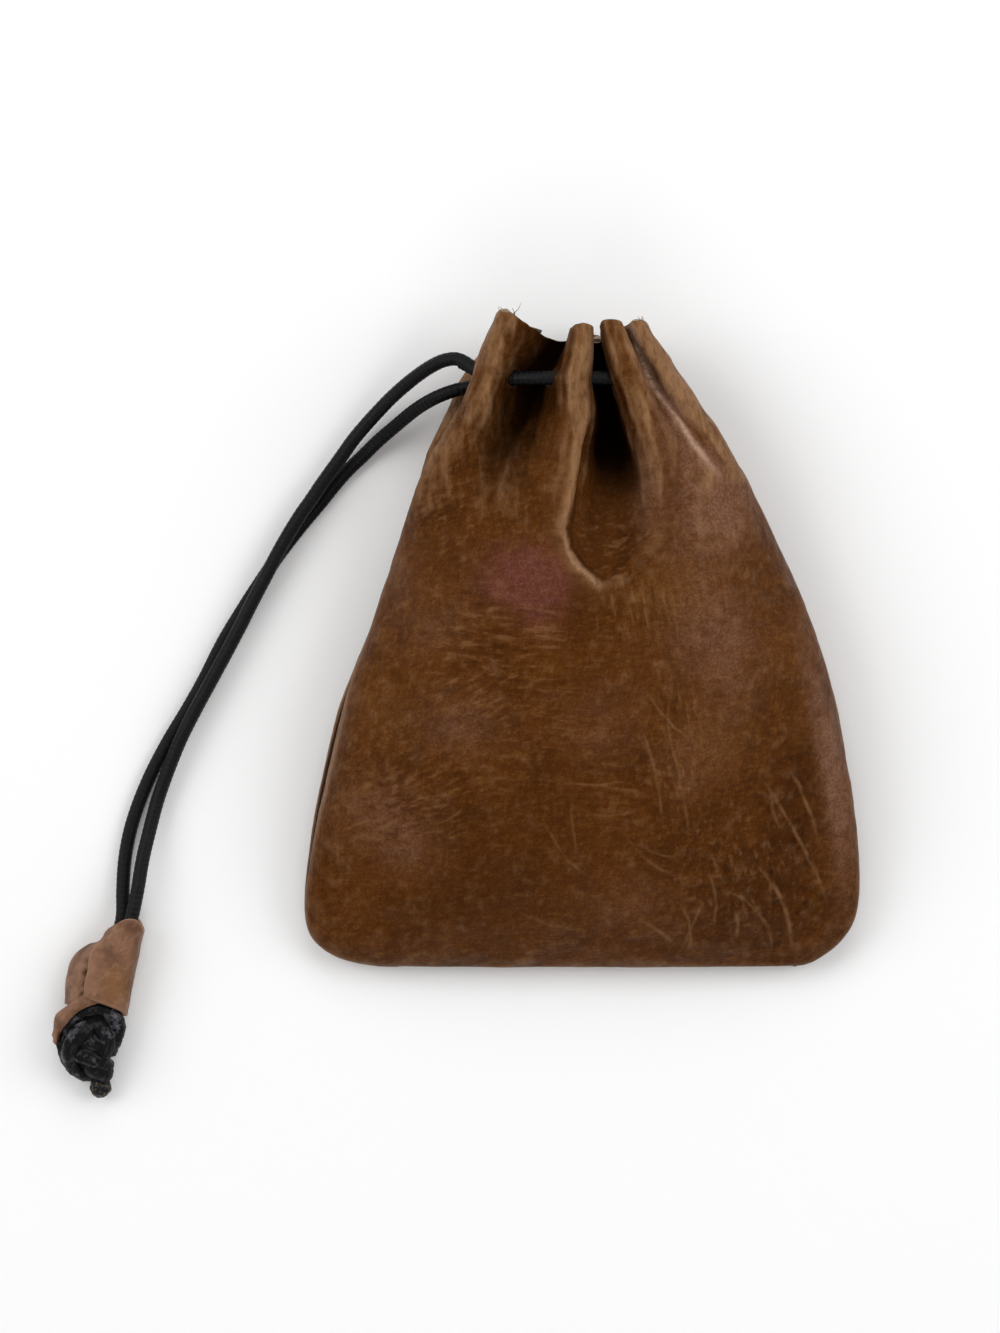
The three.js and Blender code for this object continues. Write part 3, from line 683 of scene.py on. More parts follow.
# The cord's two ways out of the neck, and the strands as they lie. x is measured from the neck's
# left edge and y from the row of holes, z of the ways out from the seam and else from the surface.
UPPER_WAY_OUT = [(2.9, 1.3, 1.3), (0.3, 2.8, -0.3)]
LOWER_WAY_OUT = [(2.9, -0.9, -1.4), (-0.1, -1.5, -0.9)]
UPPER_ROUTE = [
    (-0.35, 3.3, 11.7), (-2.4, 3.2, 10.9), (-4.6, 2.3, 9.5), (-7.4, 0.5, 7.5), (-10.9, -2.4, 5.6),
    (-13.3, -4.8, 4.5), (-15.5, -7.2, 4.0), (-17.5, -9.6, 3.7), (-19.2, -12.0, 3.6), (-21.0, -14.5, 3.6),
    (-22.7, -16.9, 3.7), (-24.3, -19.3, 3.8), (-26.0, -21.7, 3.8), (-28.9, -26.5, 3.8), (-31.5, -31.4, 3.8),
    (-34.0, -36.2, 3.7), (-35.3, -38.8, 3.6), (-37.8, -43.6, 3.5), (-40.4, -48.4, 3.5), (-43.0, -53.2, 3.5),
    (-45.4, -58.0, 3.3), (-47.4, -62.9, 2.9), (-49.1, -67.7, 2.6), (-50.4, -72.6, 2.9), (-51.5, -77.4, 3.7),
    (-52.3, -82.3, 4.5), (-53.3, -87.1, 4.9), (-54.8, -92.0, 4.9), (-56.7, -97.0, 4.9), (-58.4, -101.5, 4.9),
]
LOWER_ROUTE = [
    (-0.9, -1.7, 11.2), (-3.8, -2.75, 10.2), (-7.0, -4.5, 7.4), (-10.4, -7.1, 4.2), (-13.4, -9.6, 2.2),
    (-15.9, -12.0, 1.4), (-18.4, -14.4, 1.2), (-20.5, -16.8, 1.2), (-22.5, -19.3, 1.2), (-26.5, -24.1, 1.2),
    (-30.2, -29.0, 1.2), (-33.4, -33.8, 1.2), (-35.0, -36.3, 1.2), (-38.0, -41.2, 1.2), (-39.3, -43.6, 1.2),
    (-41.7, -48.4, 1.2), (-44.4, -53.2, 1.2), (-47.3, -58.0, 1.2), (-49.9, -62.9, 1.2), (-52.0, -67.7, 1.2),
    (-53.6, -72.6, 1.2), (-54.5, -77.4, 1.4), (-54.8, -82.3, 2.1), (-54.9, -87.1, 2.8), (-56.3, -92.0, 2.8),
    (-58.2, -97.0, 2.8), (-60.0, -101.5, 2.8),
]
OVAL_STEPS = 20
OVAL_GAP = math.radians(22)


def from_neck(points, height=0.0):
    return [(NECK_LEFT + x, HOLE_Y + y, height + z) for x, y, z in points]


def neck_cord_route():
    """The cord inside the neck's folds: in at the left, once round the oval and out again."""
    seam = hole_section["seam"]
    oval = []
    for angle in np.linspace(math.pi - OVAL_GAP, OVAL_GAP - math.pi, OVAL_STEPS + 1).tolist():
        x = NECK_MIDDLE + NECK_OVAL[0] * math.cos(angle)
        oval.append((x, HOLE_Y, seam + NECK_OVAL[1] * math.sin(angle)))
    return from_neck(UPPER_WAY_OUT[::-1], seam) + oval + from_neck(LOWER_WAY_OUT, seam)


def add_cord_mesh(name, tube, material):
    points, faces, braid = tube
    return add_mesh(name, points, faces, [material], values={"braid": braid})


def cord_piece(name, route, node):
    """A braided cord along a route; the name of the node that it stands for comes last."""
    line = smooth_line(route, RING_STEP)
    piece = add_cord_mesh(name, braided_tube(line, CORD_RADIUS), black_cord)
    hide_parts(node)
    return piece, line


# The strands start inside the neck's folds, where they go on as the neck's own cord.
neck_route = neck_cord_route()
upper_route = neck_route[1:0:-1] + from_neck(UPPER_ROUTE)
lower_route = neck_route[-2:-1] + from_neck(LOWER_ROUTE)
cord_piece("cord_in_neck", neck_route, "neck_cord")
upper_strand, upper_line = cord_piece("strand_upper", upper_route, "cord_strand_upper")
lower_strand, lower_line = cord_piece("strand_lower", lower_route, "cord_strand_lower")


# The pouch's form

def fold_blend(column, places):
    fold = np.floor(places).astype(int)
    start = FOLDS[column][fold % FOLD_COUNT]
    end = FOLDS[column][(fold + 1) % FOLD_COUNT]
    return lerp(start, end, ease(places - fold))


def fold_angle(index):
    turn = np.floor(index / FOLD_COUNT) * 2 * math.pi
    inner = np.arccos(-FOLDS["belly"][index % FOLD_COUNT])
    return turn + np.where(index % FOLD_COUNT > FOLD_COUNT / 2, 2 * math.pi - inner, inner)


def belly_angle(places):
    fold = np.floor(places).astype(int)
    near = [fold_angle(fold + i) for i in (-1, 0, 1, 2)]
    return catmull(*near, places - fold)


def neck_points(places, half_width, rim_share):
    across = lerp(FOLDS["across"], FOLDS["rim_across"], rim_share) * half_width
    over = lerp(FOLDS["over"], FOLDS["rim_over"], rim_share) * NECK_DEPTH / 2
    tips = np.stack([across, over], axis=1)
    outward = tips - (np.roll(tips, 1, axis=0) + np.roll(tips, -1, axis=0)) / 2
    outward[0::2] *= -1
    depth = np.linalg.norm(outward, axis=1)
    speed = np.sqrt(6 * depth * FOLD_RADIUS * FOLDS["round"])
    heading = np.stack([outward[:, 1], -outward[:, 0]], axis=1) * (speed / depth)[:, None]
    fold = np.floor(places).astype(int)
    share = (places - fold)[:, None]
    start = fold % FOLD_COUNT
    end = (fold + 1) % FOLD_COUNT
    return (
        lerp(tips[start], tips[end], ease(share))
        + heading[start] * share * (1 - share) ** 2
        - heading[end] * share ** 2 * (1 - share)
    )


ROUND_PLACES = np.linspace(0, FOLD_COUNT, 10 * FOLD_COUNT, endpoint=False)


def row_points(section, places):
    half_width = (section["right"] - section["left"]) / 2
    middle = (section["right"] + section["left"]) / 2
    rim_share = min(max((section["up"] - HOLE_UP) / (1 - HOLE_UP), 0), 1)
    angle = belly_angle(places)
    lifted = np.sin(angle)
    belly_x = middle - half_width * np.cos(angle)
    above = section["front"] * np.maximum(lifted, 0) ** FRONT_FULLNESS
    below = section["back"] * np.maximum(-lifted, 0) ** BACK_FULLNESS
    neck = neck_points(places, half_width, rim_share)
    start = fold_blend("start", places)
    gathered = rise(section["up"], start, HOLE_UP)
    drop = fold_blend("drop", places) * RIM_WAVE * rim_share
    x = lerp(belly_x, middle + neck[:, 0], gathered)
    y = (section["up"] - 0.5) * POUCH_HEIGHT - drop
    z = section["seam"] + lerp(above - below, neck[:, 1], gathered)
    return np.stack([x, y, z], axis=1)


def pouch_row(place, places):
    section = section_at(place)
    around = row_points(section, ROUND_PLACES)
    low, high = around[:, 0].min(), around[:, 0].max()
    points = row_points(section, places)
    share = (points[:, 0] - low) / (high - low)
    points[:, 0] = lerp(section["left"], section["right"], share)
    return points


def even_stops(curves, places, count):
    """Places that lie evenly along the curves, on the average of them."""
    travel = 0
    for curve in curves:
        lengths = travelled(curve)
        travel = travel + lengths / lengths[-1]
    return np.interp(np.linspace(0, len(curves), count), travel, places)


def panel_form(first_fold, side, rows, columns):
    """Points of a panel's outside, a row for each height, and the places of its columns."""
    fine_rows = np.linspace(0, len(SECTIONS) - 1, 481)
    middle = np.array([first_fold + 3.4])
    profile = np.array([pouch_row(place, middle)[0] for place in fine_rows])
    row_places = even_stops([profile], fine_rows, rows)
    fine_columns = np.linspace(first_fold, first_fold + FOLD_COUNT / 2, 961)
    curves = [pouch_row(place, fine_columns) for place in (3, 6, 9, 10.5, 11.5)]
    column_places = even_stops(curves, fine_columns, columns)
    grid = np.array([pouch_row(place, column_places) for place in row_places])
    grid[..., 2] = np.maximum(0, grid[..., 2] + side * SEAM_GAP / 2)
    return grid, column_places


def grid_normals(grid):
    return unit(np.cross(np.gradient(grid, axis=1), np.gradient(grid, axis=0)))


CORNER = 3  # points of a panel's corner that share one direction, because its rows run together there


def panel_normals(grid):
    """Outward directions of a panel's outside, steady along its edges and corners."""
    normals = grid_normals(grid)
    for column in (slice(None, CORNER), slice(-CORNER, None)):
        normals[:CORNER, column] = normals[CORNER, CORNER if column.start is None else -CORNER - 1]
    return unit(blurred(normals, 3))


def blurred(grid, passes):
    """The grid with each point drawn towards its neighbours; its edges stay."""
    soft = grid.copy()
    for _ in range(passes):
        soft[1:-1] = (soft[:-2] + 2 * soft[1:-1] + soft[2:]) / 4
        soft[:, 1:-1] = (soft[:, :-2] + 2 * soft[:, 1:-1] + soft[:, 2:]) / 4
    return soft


def seam_distance(grid):
    """How far each point lies from the panel's sewn edge."""
    edge = np.vstack([grid[::-1, 0], grid[0], grid[:, -1]])
    tree = kdtree.KDTree(len(edge))
    for i, point in enumerate(edge):
        tree.insert(Vector(point), i)
    tree.balance()
    return np.array([tree.find(Vector(p))[2] for p in grid.reshape(-1, 3)]).reshape(grid.shape[:2])


def line_distance(x, y, line):
    """How far the places lie, seen from above, from a line through points."""
    nearest = np.full(x.shape, np.inf)
    for (ax, ay), (bx, by) in zip(line, line[1:]):
        long = (bx - ax) ** 2 + (by - ay) ** 2
        share = np.clip(((x - ax) * (bx - ax) + (y - ay) * (by - ay)) / long, 0, 1)
        nearest = np.minimum(nearest, np.hypot(x - lerp(ax, bx, share), y - lerp(ay, by, share)))
    return nearest


# The hollow under the neck's middle valley: its sharp left wall and foot, and its soft right side
POCKET_WALL = [(1.6, 40.0), (0.5, 36.0), (-0.5, 31.1), (-1.5, 26.3), (-2.3, 22.2), (-3.2, 18.2), (-2.6, 14.6),
               (-0.3, 11.6), (2.9, 8.9), (5.8, 9.6)]
POCKET_SLOPE = [(5.8, 9.6), (9.4, 12.4), (12.6, 15.8), (15.2, 19.8), (11.8, 27.9), (8.1, 34.3), (4.5, 40.0)]
POCKET_DEPTH = 1.5
POCKET_SIDES = (1.7, 6.5)  # widths of its steep wall and of its soft slope
POCKET_LIP = (0.16, 1.3)  # height and width of the leather raised along the wall
POCKET_LIP_START = (6.0, 10.0)  # heights between which it sets in
POCKET_FOOT = (13.0, 6.0)  # height and length of the stretch of its wall with a painted highlight
POCKET_TOP = (30.0, 40.0)  # heights between which it fades into the valley

# The painted highlight along the edge of the neck's broad right fold
FOLD_LINE = [(7.6, 50.3), (9.4, 45.8), (11.1, 41.6), (13.7, 37.9), (17.1, 32.6), (19.2, 29.8), (21.2, 27.2),
             (24.0, 24.0)]
FOLD_LINE_WIDTH = 0.55
FOLD_LINE_END = (24.5, 32.0)  # heights between which it fades in

# Painted shade in the deep folds of the neck: place among the folds, reach, lowest and full height, amount,
# and how far it leans to other places towards its foot
PAINTED_FOLD_SHADE = [
    (2.05, 0.44, 17.0, 43.0, 0.96, -0.2),
    (4.0, 0.5, 18.5, 33.0, 1.0, 0.25),
    (0.0, 0.35, 24.0, 36.0, 0.8, 0.0),
    (8.0, 0.35, 24.0, 36.0, 0.8, 0.0),
    (10.0, 0.5, 24.0, 36.0, 1.0, 0.0),
    (12.0, 0.5, 24.0, 36.0, 1.0, 0.0),
    (14.0, 0.5, 24.0, 36.0, 1.0, 0.0),
    (16.0, 0.35, 24.0, 36.0, 0.8, 0.0),
]
EVEN_FADE = 2.2  # a power that turns an even step of light into one that looks even
SHADED = 0.5  # share of a deep fold's painted shade from which its leather has less gloss
DEEPEST = 0.9  # and from which it has none

# Broad worn (above 0) and dark (below 0) places of the front: x, y, width, height, amount
WORN_PLACES = [
    (-33.0, -12.0, 7.0, 8.0, 0.4),
    (20.0, -16.0, 9.0, 7.0, 0.6),
    (13.0, 8.0, 7.0, 6.0, 0.9),
    (22.5, 20.0, 4.5, 8.0, 0.6),
    (5.0, 17.0, 6.0, 6.0, -1.3),
    (-1.0, 7.0, 3.0, 8.0, -0.7),
    (33.5, -27.0, 4.5, 13.0, -1.1),
    (27.0, -43.5, 9.0, 6.0, -1.0),
    (-3.0, -15.0, 7.0, 12.0, -0.3),
    (-14.0, -34.0, 16.0, 9.0, -0.5),
    (-20.0, -44.0, 16.0, 6.0, -0.4),
    (-24.0, 14.0, 5.0, 9.0, -0.35),
    (14.0, -26.0, 5.0, 4.0, -0.5),
]

# Painted sheen of the front, pale and greyish: x, y, width, height, amount
SHEEN_PLACES = [
    (20.0, 3.0, 7.0, 9.0, 0.7),
    (24.0, -6.0, 5.0, 9.0, 0.4),
    (-24.0, 3.0, 6.0, 5.0, 0.35),
    (-20.0, -13.0, 7.0, 5.0, 0.5),
    (-33.0, -27.0, 6.0, 5.0, 0.55),
    (-28.0, -33.0, 5.0, 4.0, 0.5),
    (18.0, -19.0, 6.0, 5.0, 0.35),
    (3.0, -13.0, 6.0, 6.0, 0.3),
    (-30.0, 13.0, 2.5, 7.0, 0.5),
    (23.5, 23.0, 3.2, 7.0, 1.4),
    (20.2, 29.5, 1.6, 2.4, 0.6),
    (15.0, 40.0, 3.0, 9.0, 1.7),
    (18.6, 28.0, 3.0, 6.0, 0.9),
    (10.0, 25.0, 2.6, 6.0, 1.0),
    (19.0, 19.0, 5.0, 6.0, 0.9),
    (7.5, -42.0, 7.0, 4.0, 0.3),
]
EDGE_SHEEN = (3.0, 1.7, -20.0, 15.0, 1.9)  # painted reflection along the right edge: inwards, width, height, length, amount

# The mauve stain
MAUVE_PLACES = [
    (-7.0, 11.2, 3.6, 3.4, 1.0),
    (-11.0, 13.6, 5.0, 3.0, 0.5),
    (-13.6, 10.2, 3.4, 3.0, 0.35),
    (-10.8, 8.8, 5.0, 2.8, 0.9),
    (-7.2, 5.2, 3.8, 3.8, 0.7),
    (-4.6, 9.4, 2.4, 3.2, 0.6),
]

# Where the leather is crazed into small cells: x, y, width, height, amount
CRAZED_PLACES = [
    (33.0, -26.0, 5.0, 15.0, 1.3),
    (28.0, -42.0, 12.0, 8.0, 1.2),
    (15.0, -24.0, 8.0, 9.0, 0.5),
    (-31.0, 2.0, 4.0, 8.0, 0.5),
    (6.0, 3.0, 3.0, 6.0, 0.5),
    (5.5, 15.0, 5.0, 7.0, 0.9),
]

# Where it is finely wrinkled: x, y, width, height, amount
LEVEL_WRINKLES = [
    (-13.0, 1.0, 11.0, 7.0, 0.9),
    (-4.0, -14.0, 8.0, 7.0, 0.4),
    (4.5, 17.0, 6.0, 6.5, 0.3),
    (6.0, -24.0, 8.0, 5.0, 0.4),
]
UPRIGHT_WRINKLES = [
    (15.0, -16.0, 6.0, 14.0, 0.6),
    (8.5, 6.0, 7.0, 5.0, 0.9),
    (27.0, -38.0, 11.0, 12.0, 0.6),
    (24.0, 12.0, 8.0, 12.0, 0.3),
    (-16.0, 30.0, 9.0, 12.0, 0.6),
]
SLANTING_WRINKLES = [
    (-17.0, -8.0, 9.0, 5.0, 0.8),
    (-26.0, -24.0, 12.0, 7.0, 0.9),
    (7.0, 14.0, 5.0, 5.0, 0.5),
    (-23.0, 22.0, 7.0, 7.0, 0.6),
]


def patch_field(x, y, patches):
    total = np.zeros(x.shape)
    for middle_x, middle_y, width, height, amount in patches:
        total += amount * np.exp(-((x - middle_x) / width) ** 2 - ((y - middle_y) / height) ** 2)
    return total


SEAM_GROOVE = 0.5  # depth of the groove along the seam
SEAM_WIDTH = 0.8
SEAM_HOLD = 3.0  # how far from the seam the dents reach their full height
PLEATED = (6.0, 32.0)  # heights between which the neck's pleats take over from the dents
STREAKED = (12.0, 32.0)  # and between which the streaks along its folds set in
STREAK_HEIGHT = 0.12

# Dents of the leather: their height, their size and a shift that tells their noise from others
FRONT_DENTS = [(0.42, 15.0, 3.1), (0.2, 4.5, 7.7), (0.07, 1.6, 1.9)]
BACK_DENTS = [(0.35, 13.0, 12.1), (0.14, 4.0, 15.2)]


def dents(grid, sizes):
    return sum(height * noise_at(grid, size, shift) for height, size, shift in sizes)


def inside_loop(x, y, loop):
    """Which of the places lie inside a closed loop of points."""
    inside = np.zeros(x.shape, dtype=bool)
    for (ax, ay), (bx, by) in zip(loop, loop[1:] + loop[:1]):
        if ay == by:
            continue
        crosses = (y < ay) != (y < by)
        inside ^= crosses & (x < ax + (y - ay) * (bx - ax) / (by - ay))
    return inside


def front_relief(grid):
    """Dents and puckers of the front and its pocket, as heights along its outward direction."""
    x, y = grid[..., 0], grid[..., 1]
    height = dents(grid, FRONT_DENTS)
    neck = rise(y, *PLEATED)
    height *= 1 - 0.4 * neck
    fan = grid * (1.0, 0.2, 0.6)
    height += 0.24 * neck * noise_at(fan, 2.2, 9.4)
    wall = line_distance(x, y, POCKET_WALL)
    slope = line_distance(x, y, POCKET_SLOPE)
    fade = 1 - rise(y, *POCKET_TOP)
    inside = inside_loop(x, y, POCKET_WALL + POCKET_SLOPE[1:-1])
    steep, soft = [ease(off / width) for off, width in zip((wall, slope), POCKET_SIDES)]
    height -= POCKET_DEPTH * fade * inside * steep * soft
    height += POCKET_LIP[0] * fade * bell(wall, POCKET_LIP[1]) * rise(y, *POCKET_LIP_START)
    return height


def front_lines_and_highlights(grid):
    """Pale lines of the front: the pocket's edge, sharp on its inside, partly worn and partly a painted
    highlight; and the painted highlights along the right fold's edge and at the foot of the pocket's wall.
    """
    x, y = grid[..., 0], grid[..., 1]
    wobble = 0.35 * noise_at(grid, 2.2, 4.4)
    off = line_distance(x + 0.4 + wobble, y, POCKET_WALL[1:9])
    inside = inside_loop(x + 0.4 + wobble, y, POCKET_WALL + POCKET_SLOPE[1:-1])
    wall = np.where(inside, bell(off, 0.4), 0.6 * bell(off, 0.7) + 0.4 * bell(off, 2.2))
    wall *= 0.75 + 0.8 * wobble
    fold_edge_highlight = bell(line_distance(x + 0.6 * wobble, y, FOLD_LINE), FOLD_LINE_WIDTH)
    fold_edge_highlight *= rise(y, *FOLD_LINE_END)
    foot = bell(y - POCKET_FOOT[0], POCKET_FOOT[1]) * inside * bell(off, 0.5)
    return np.clip(0.66 * wall, 0, 1), np.clip(0.85 * fold_edge_highlight + 0.35 * foot, 0, 1)


def back_relief(grid):
    height = dents(grid, BACK_DENTS)
    neck = rise(grid[..., 1], *PLEATED)
    height += 0.2 * neck * noise_at(grid * (1.0, 0.25, 0.6), 2.6, 19.4)
    return height


def zip_faces(fine, coarse, flip=False):
    """Triangles between two lines of points that run side by side, with different numbers of points."""
    faces = []
    i = j = 0
    while i < len(fine) - 1 or j < len(coarse) - 1:
        next_fine = (i + 1) / (len(fine) - 1)
        next_coarse = (j + 1) / (len(coarse) - 1)
        if j == len(coarse) - 1 or (i < len(fine) - 1 and next_fine <= next_coarse):
            face = (fine[i], fine[i + 1], coarse[j])
            i += 1
        else:
            face = (fine[i], coarse[j + 1], coarse[j])
            j += 1
        faces.append(face[::-1] if flip else face)
    return faces


RIM_STEPS = (0.12, 0.35, 0.65, 0.88)  # across the raw edge of the rim
COARSE = 4  # columns and rows of the outside to one of the inside
EDGE_INSET = 0.75  # how far the front's left edge lies inside the back's, where the back shows
EDGE_SHOWN = (-20.0, 15.0)  # middle and half length of that stretch
RIM_FLARE = 0.55  # how far the rough cut edge turns towards the eye
ROUGH_RIM = [(-13.0, 3.0), (9.2, 1.8)]  # where it does: place to the right, and half width


def fold_streaks(form, column_places):
    """Streaks that run along the neck's folds, from -1 to 1."""
    travel = np.broadcast_to(travelled(pouch_row(HOLE_PLACE, column_places)), form.shape[:2])
    return noise_at(np.stack([travel, 0.13 * form[..., 1], 0 * travel], axis=-1), 2.1, 71.0)


def panel_inside(form, normals, dented, side):
    """The wall's inside on a coarser grid, and the directions in which its thickness is laid."""
    across = normals.copy()
    across[:, [0, -1], 2] = 0
    across[0, :, 2] = 0
    across[-1, :, 1] = 0
    across = unit(across)
    coarse = [np.arange(0, count, COARSE) for count in form.shape[:2]]
    inner = (form + normals * dented[..., None] - across * LEATHER)[np.ix_(*coarse)]
    plane = form[coarse[0]][:, [0, -1], 2]
    if side > 0:
        inner[..., 2] = np.maximum(inner[..., 2], plane.min(axis=1)[:, None])
    else:
        inner[..., 2] = np.minimum(inner[..., 2], plane.max(axis=1)[:, None])
    return inner, across


def panel_rim(form, outer, across, side):
    """The raw cut edge, row by row towards the inside, and how rough it is along the rim."""
    far = form[-1] - across[-1] * LEATHER
    rough = np.max([bell(far[:, 0] - middle, width) for middle, width in ROUGH_RIM], axis=0)
    far[:, 1] += RIM_FLARE * (side > 0) * rough
    rows = [lerp(outer[-1], far, share) + (0, 0.16 * math.sin(math.pi * share), 0) for share in RIM_STEPS]
    return np.array(rows + [far]), rough


def panel_faces(outer, rim, inner):
    """The faces of a whole panel, and how many of them are its outside and its rim."""
    grids = (outer, rim, inner)
    first = np.cumsum([0] + [grid[..., 0].size for grid in grids]).tolist()
    outer_at, rim_at, inner_at = [
        number + np.arange(grid[..., 0].size).reshape(grid.shape[:2]) for number, grid in zip(first, grids)
    ]
    rows, columns = outer.shape[:2]
    faces = grid_faces(rows, columns)
    outside = len(faces)
    faces += grid_faces(len(rim) + 1, columns, first=first[1] - columns)
    on_rim = len(faces) - outside
    faces += grid_faces(*inner.shape[:2], first=first[2], flip=True)
    edge_at = np.vstack([outer_at, rim_at])
    faces += zip_faces(rim_at[-1], inner_at[-1])
    faces += zip_faces(outer_at[0], inner_at[0], flip=True)
    faces += zip_faces(edge_at[:, 0], inner_at[:, 0])
    faces += zip_faces(edge_at[:, -1], inner_at[:, -1], flip=True)
    return [tuple(int(i) for i in face) for face in faces], outside, on_rim


# Rounds of smoothing that take away broad bends, and fine ones
BEND_PASSES = (34, 4)


def rubbed_bends(outer, normals, neck, streaks):
    """Where the leather bends outwards and is rubbed pale, from 0 to 1."""
    broad, fine = [((outer - blurred(outer, passes)) * normals).sum(axis=2) for passes in BEND_PASSES]
    bend_and_painted_light = broad * lerp(1.2, 2.4, neck) + fine * 4 - 0.1
    return np.clip(bend_and_painted_light * (1 + 0.4 * neck * streaks) + 0.26 * neck * streaks + 0.1 * neck, 0, 1)


def painted_fold_shade(y, column_places, streaks):
    """How much shade is painted into the deep folds, from 0 to 1."""
    dark = np.zeros(y.shape)
    for place, reach, low, full, amount, lean in PAINTED_FOLD_SHADE:
        depth = np.clip((y - low) / (full - low), 0, 1)
        near = bell(column_places - place - lean * (1 - depth) + 0.14 * streaks, reach)
        dark = np.maximum(dark, 1 - (1 - amount * near * ease(depth)) ** EVEN_FADE)
    return dark


def front_looks(form, from_seam, shown):
    """The front's creases, stains, worn places and wrinkles, with its painted sheen and painted highlights.
    """
    x, y = form[..., 0], form[..., 1]
    worn_line_and_highlight, lit = front_lines_and_highlights(form)
    # A painted highlight along the front's rounded left edge, where the back shows beside it
    edge_highlight = 0.9 * shown * bell(x - x[:, :1] - 0.45, 0.35) * (from_seam > 0.5)
    # A painted reflection along the right edge
    inward, width, middle, length, amount = EDGE_SHEEN
    edge_sheen = amount * bell(x[:, -1:] - x - inward, width) * bell(y - middle, length)
    return {
        "worn_line_and_highlight": np.maximum(worn_line_and_highlight, edge_highlight),
        "lit": lit,
        "worn": patch_field(x, y, WORN_PLACES),
        "sheen": np.clip(patch_field(x, y, SHEEN_PLACES) + edge_sheen, 0, 1.5),
        "mauve": 0.8 * np.clip(patch_field(x, y, MAUVE_PLACES), 0, 1),
        "crackle": np.clip(0.08 + patch_field(x, y, CRAZED_PLACES), 0, 1.2),
        "lined": np.ones(x.shape),
        "level": 0.25 + patch_field(x, y, LEVEL_WRINKLES),
        "upright": 0.15 + patch_field(x, y, UPRIGHT_WRINKLES),
        "slanting": 0.2 + patch_field(x, y, SLANTING_WRINKLES),
    }


def back_looks(form):
    """The back's worn places, painted sheen, crazing and wrinkles, strewn by noise."""
    looks = {name: np.zeros(form.shape[:2]) for name in ("worn_line_and_highlight", "lit", "mauve", "lined")}
    looks["worn"] = 0.6 * noise_at(form, 18.0, 21.0)
    looks["sheen"] = np.clip(0.5 * noise_at(form, 16.0, 23.0), 0, 1)
    looks["crackle"] = np.clip(0.1 + 0.6 * noise_at(form, 14.0, 25.0), 0, 1)
    for name, shift in (("level", 27.0), ("upright", 28.0), ("slanting", 29.0)):
        looks[name] = np.clip(noise_at(form, 16.0, shift), 0, 1)
    return looks


def build_panel(name, first_fold, side, rows, columns, relief, node):
    """One leather panel: its outside, rim and inside, closed along the seam."""
    form, column_places = panel_form(first_fold, side, rows, columns)
    normals = panel_normals(form)
    from_seam = seam_distance(form)
    x, y = form[..., 0], form[..., 1]
    shown = bell(y - EDGE_SHOWN[0], EDGE_SHOWN[1]) * (x < 0)
    if side > 0:
        x += EDGE_INSET * shown * bell(from_seam, 5.0)
    streaks = fold_streaks(form, column_places)
    neck = rise(y, *STREAKED)
    raised = (relief(form) + STREAK_HEIGHT * neck * streaks) * ease(from_seam / SEAM_HOLD)
    outer = form + normals * (raised - SEAM_GROOVE * bell(from_seam, SEAM_WIDTH))[..., None]
    outer[..., 2] = np.maximum(0, outer[..., 2])
    outer[-1, :, 1] += 0.18 * noise_at(outer[-1], 1.4, 2.2)
    inner, across = panel_inside(form, normals, np.minimum(blurred(raised, 4), 0), side)
    rim, rough = panel_rim(form, outer, across, side)

    looks = front_looks(form, from_seam, shown) if side > 0 else back_looks(form)
    looks["bend_and_painted_light"] = rubbed_bends(outer, normals, neck, streaks)
    # Painted shade in the deep folds
    looks["painted_shade"] = painted_fold_shade(y, column_places, streaks)
    looks["furrow_and_shadow"] = 0.4 * neck * np.maximum(-streaks - 0.1, 0)
    # The back's edge along the left seam, which shows beside the front, is painted dark: a painted shadow
    if side < 0:
        looks["furrow_and_shadow"] = np.maximum(looks["furrow_and_shadow"], bell(from_seam, 1.4) * (x < 0))
    raw = np.clip(0.25 + 0.9 * noise_at(rim, 3.0, 8.0) + 0.9 * rough, 0, 1)
    looks["raw"] = np.concatenate([np.zeros(rows * columns), raw.ravel()])

    faces, outside, on_rim = panel_faces(outer, rim, inner)
    # Faces under much painted shade take the leather copy with less gloss, and those under the most take the
    # one with none
    dark = looks["painted_shade"].ravel()[np.array(faces[:outside])].mean(axis=1)
    kinds = np.ones(len(faces), dtype=int)
    kinds[:outside] = np.select([dark > DEEPEST, dark > SHADED], [4, 3], 0)
    kinds[outside:outside + on_rim] = 2
    points = np.vstack([grid.reshape(-1, 3) for grid in (outer, rim, inner)])
    materials = [pouch_leather, suede, raw_edge, shaded_leather, deep_shade_leather]
    piece = add_mesh(name, points, faces, materials, kinds, looks)
    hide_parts(node)
    return piece, outer


FRONT_GRID = (292, 276)
BACK_GRID = (196, 188)
front, front_form = build_panel("pouch_front", 0, 1, *FRONT_GRID, front_relief, "front_panel")
back, _ = build_panel("pouch_back", FOLD_COUNT // 2, -1, *BACK_GRID, back_relief, "back_panel")


# Holes for the cord

def cut_holes(pieces):
    route = from_neck(UPPER_ROUTE[1:3])[::-1] + neck_route + from_neck(LOWER_ROUTE[1:3])
    line = smooth_line(route, 0.8)
    points, faces, _ = braided_tube(line, CORD_RADIUS + HOLE_CLEARANCE, sides=20)
    mesh = new_mesh("hole_tool", points, faces)
    mesh.materials.append(suede)
    tool = new_object("hole_tool", mesh)
    for piece in pieces:
        modifier = piece.modifiers.new("holes", "BOOLEAN")
        modifier.operation = "DIFFERENCE"
        modifier.solver = "MANIFOLD"
        modifier.object = tool
        graph = bpy.context.evaluated_depsgraph_get()
        cut = bpy.data.meshes.new_from_object(piece.evaluated_get(graph))
        piece.modifiers.clear()
        piece.data = cut
    bpy.data.objects.remove(tool)


cut_holes([front, back])


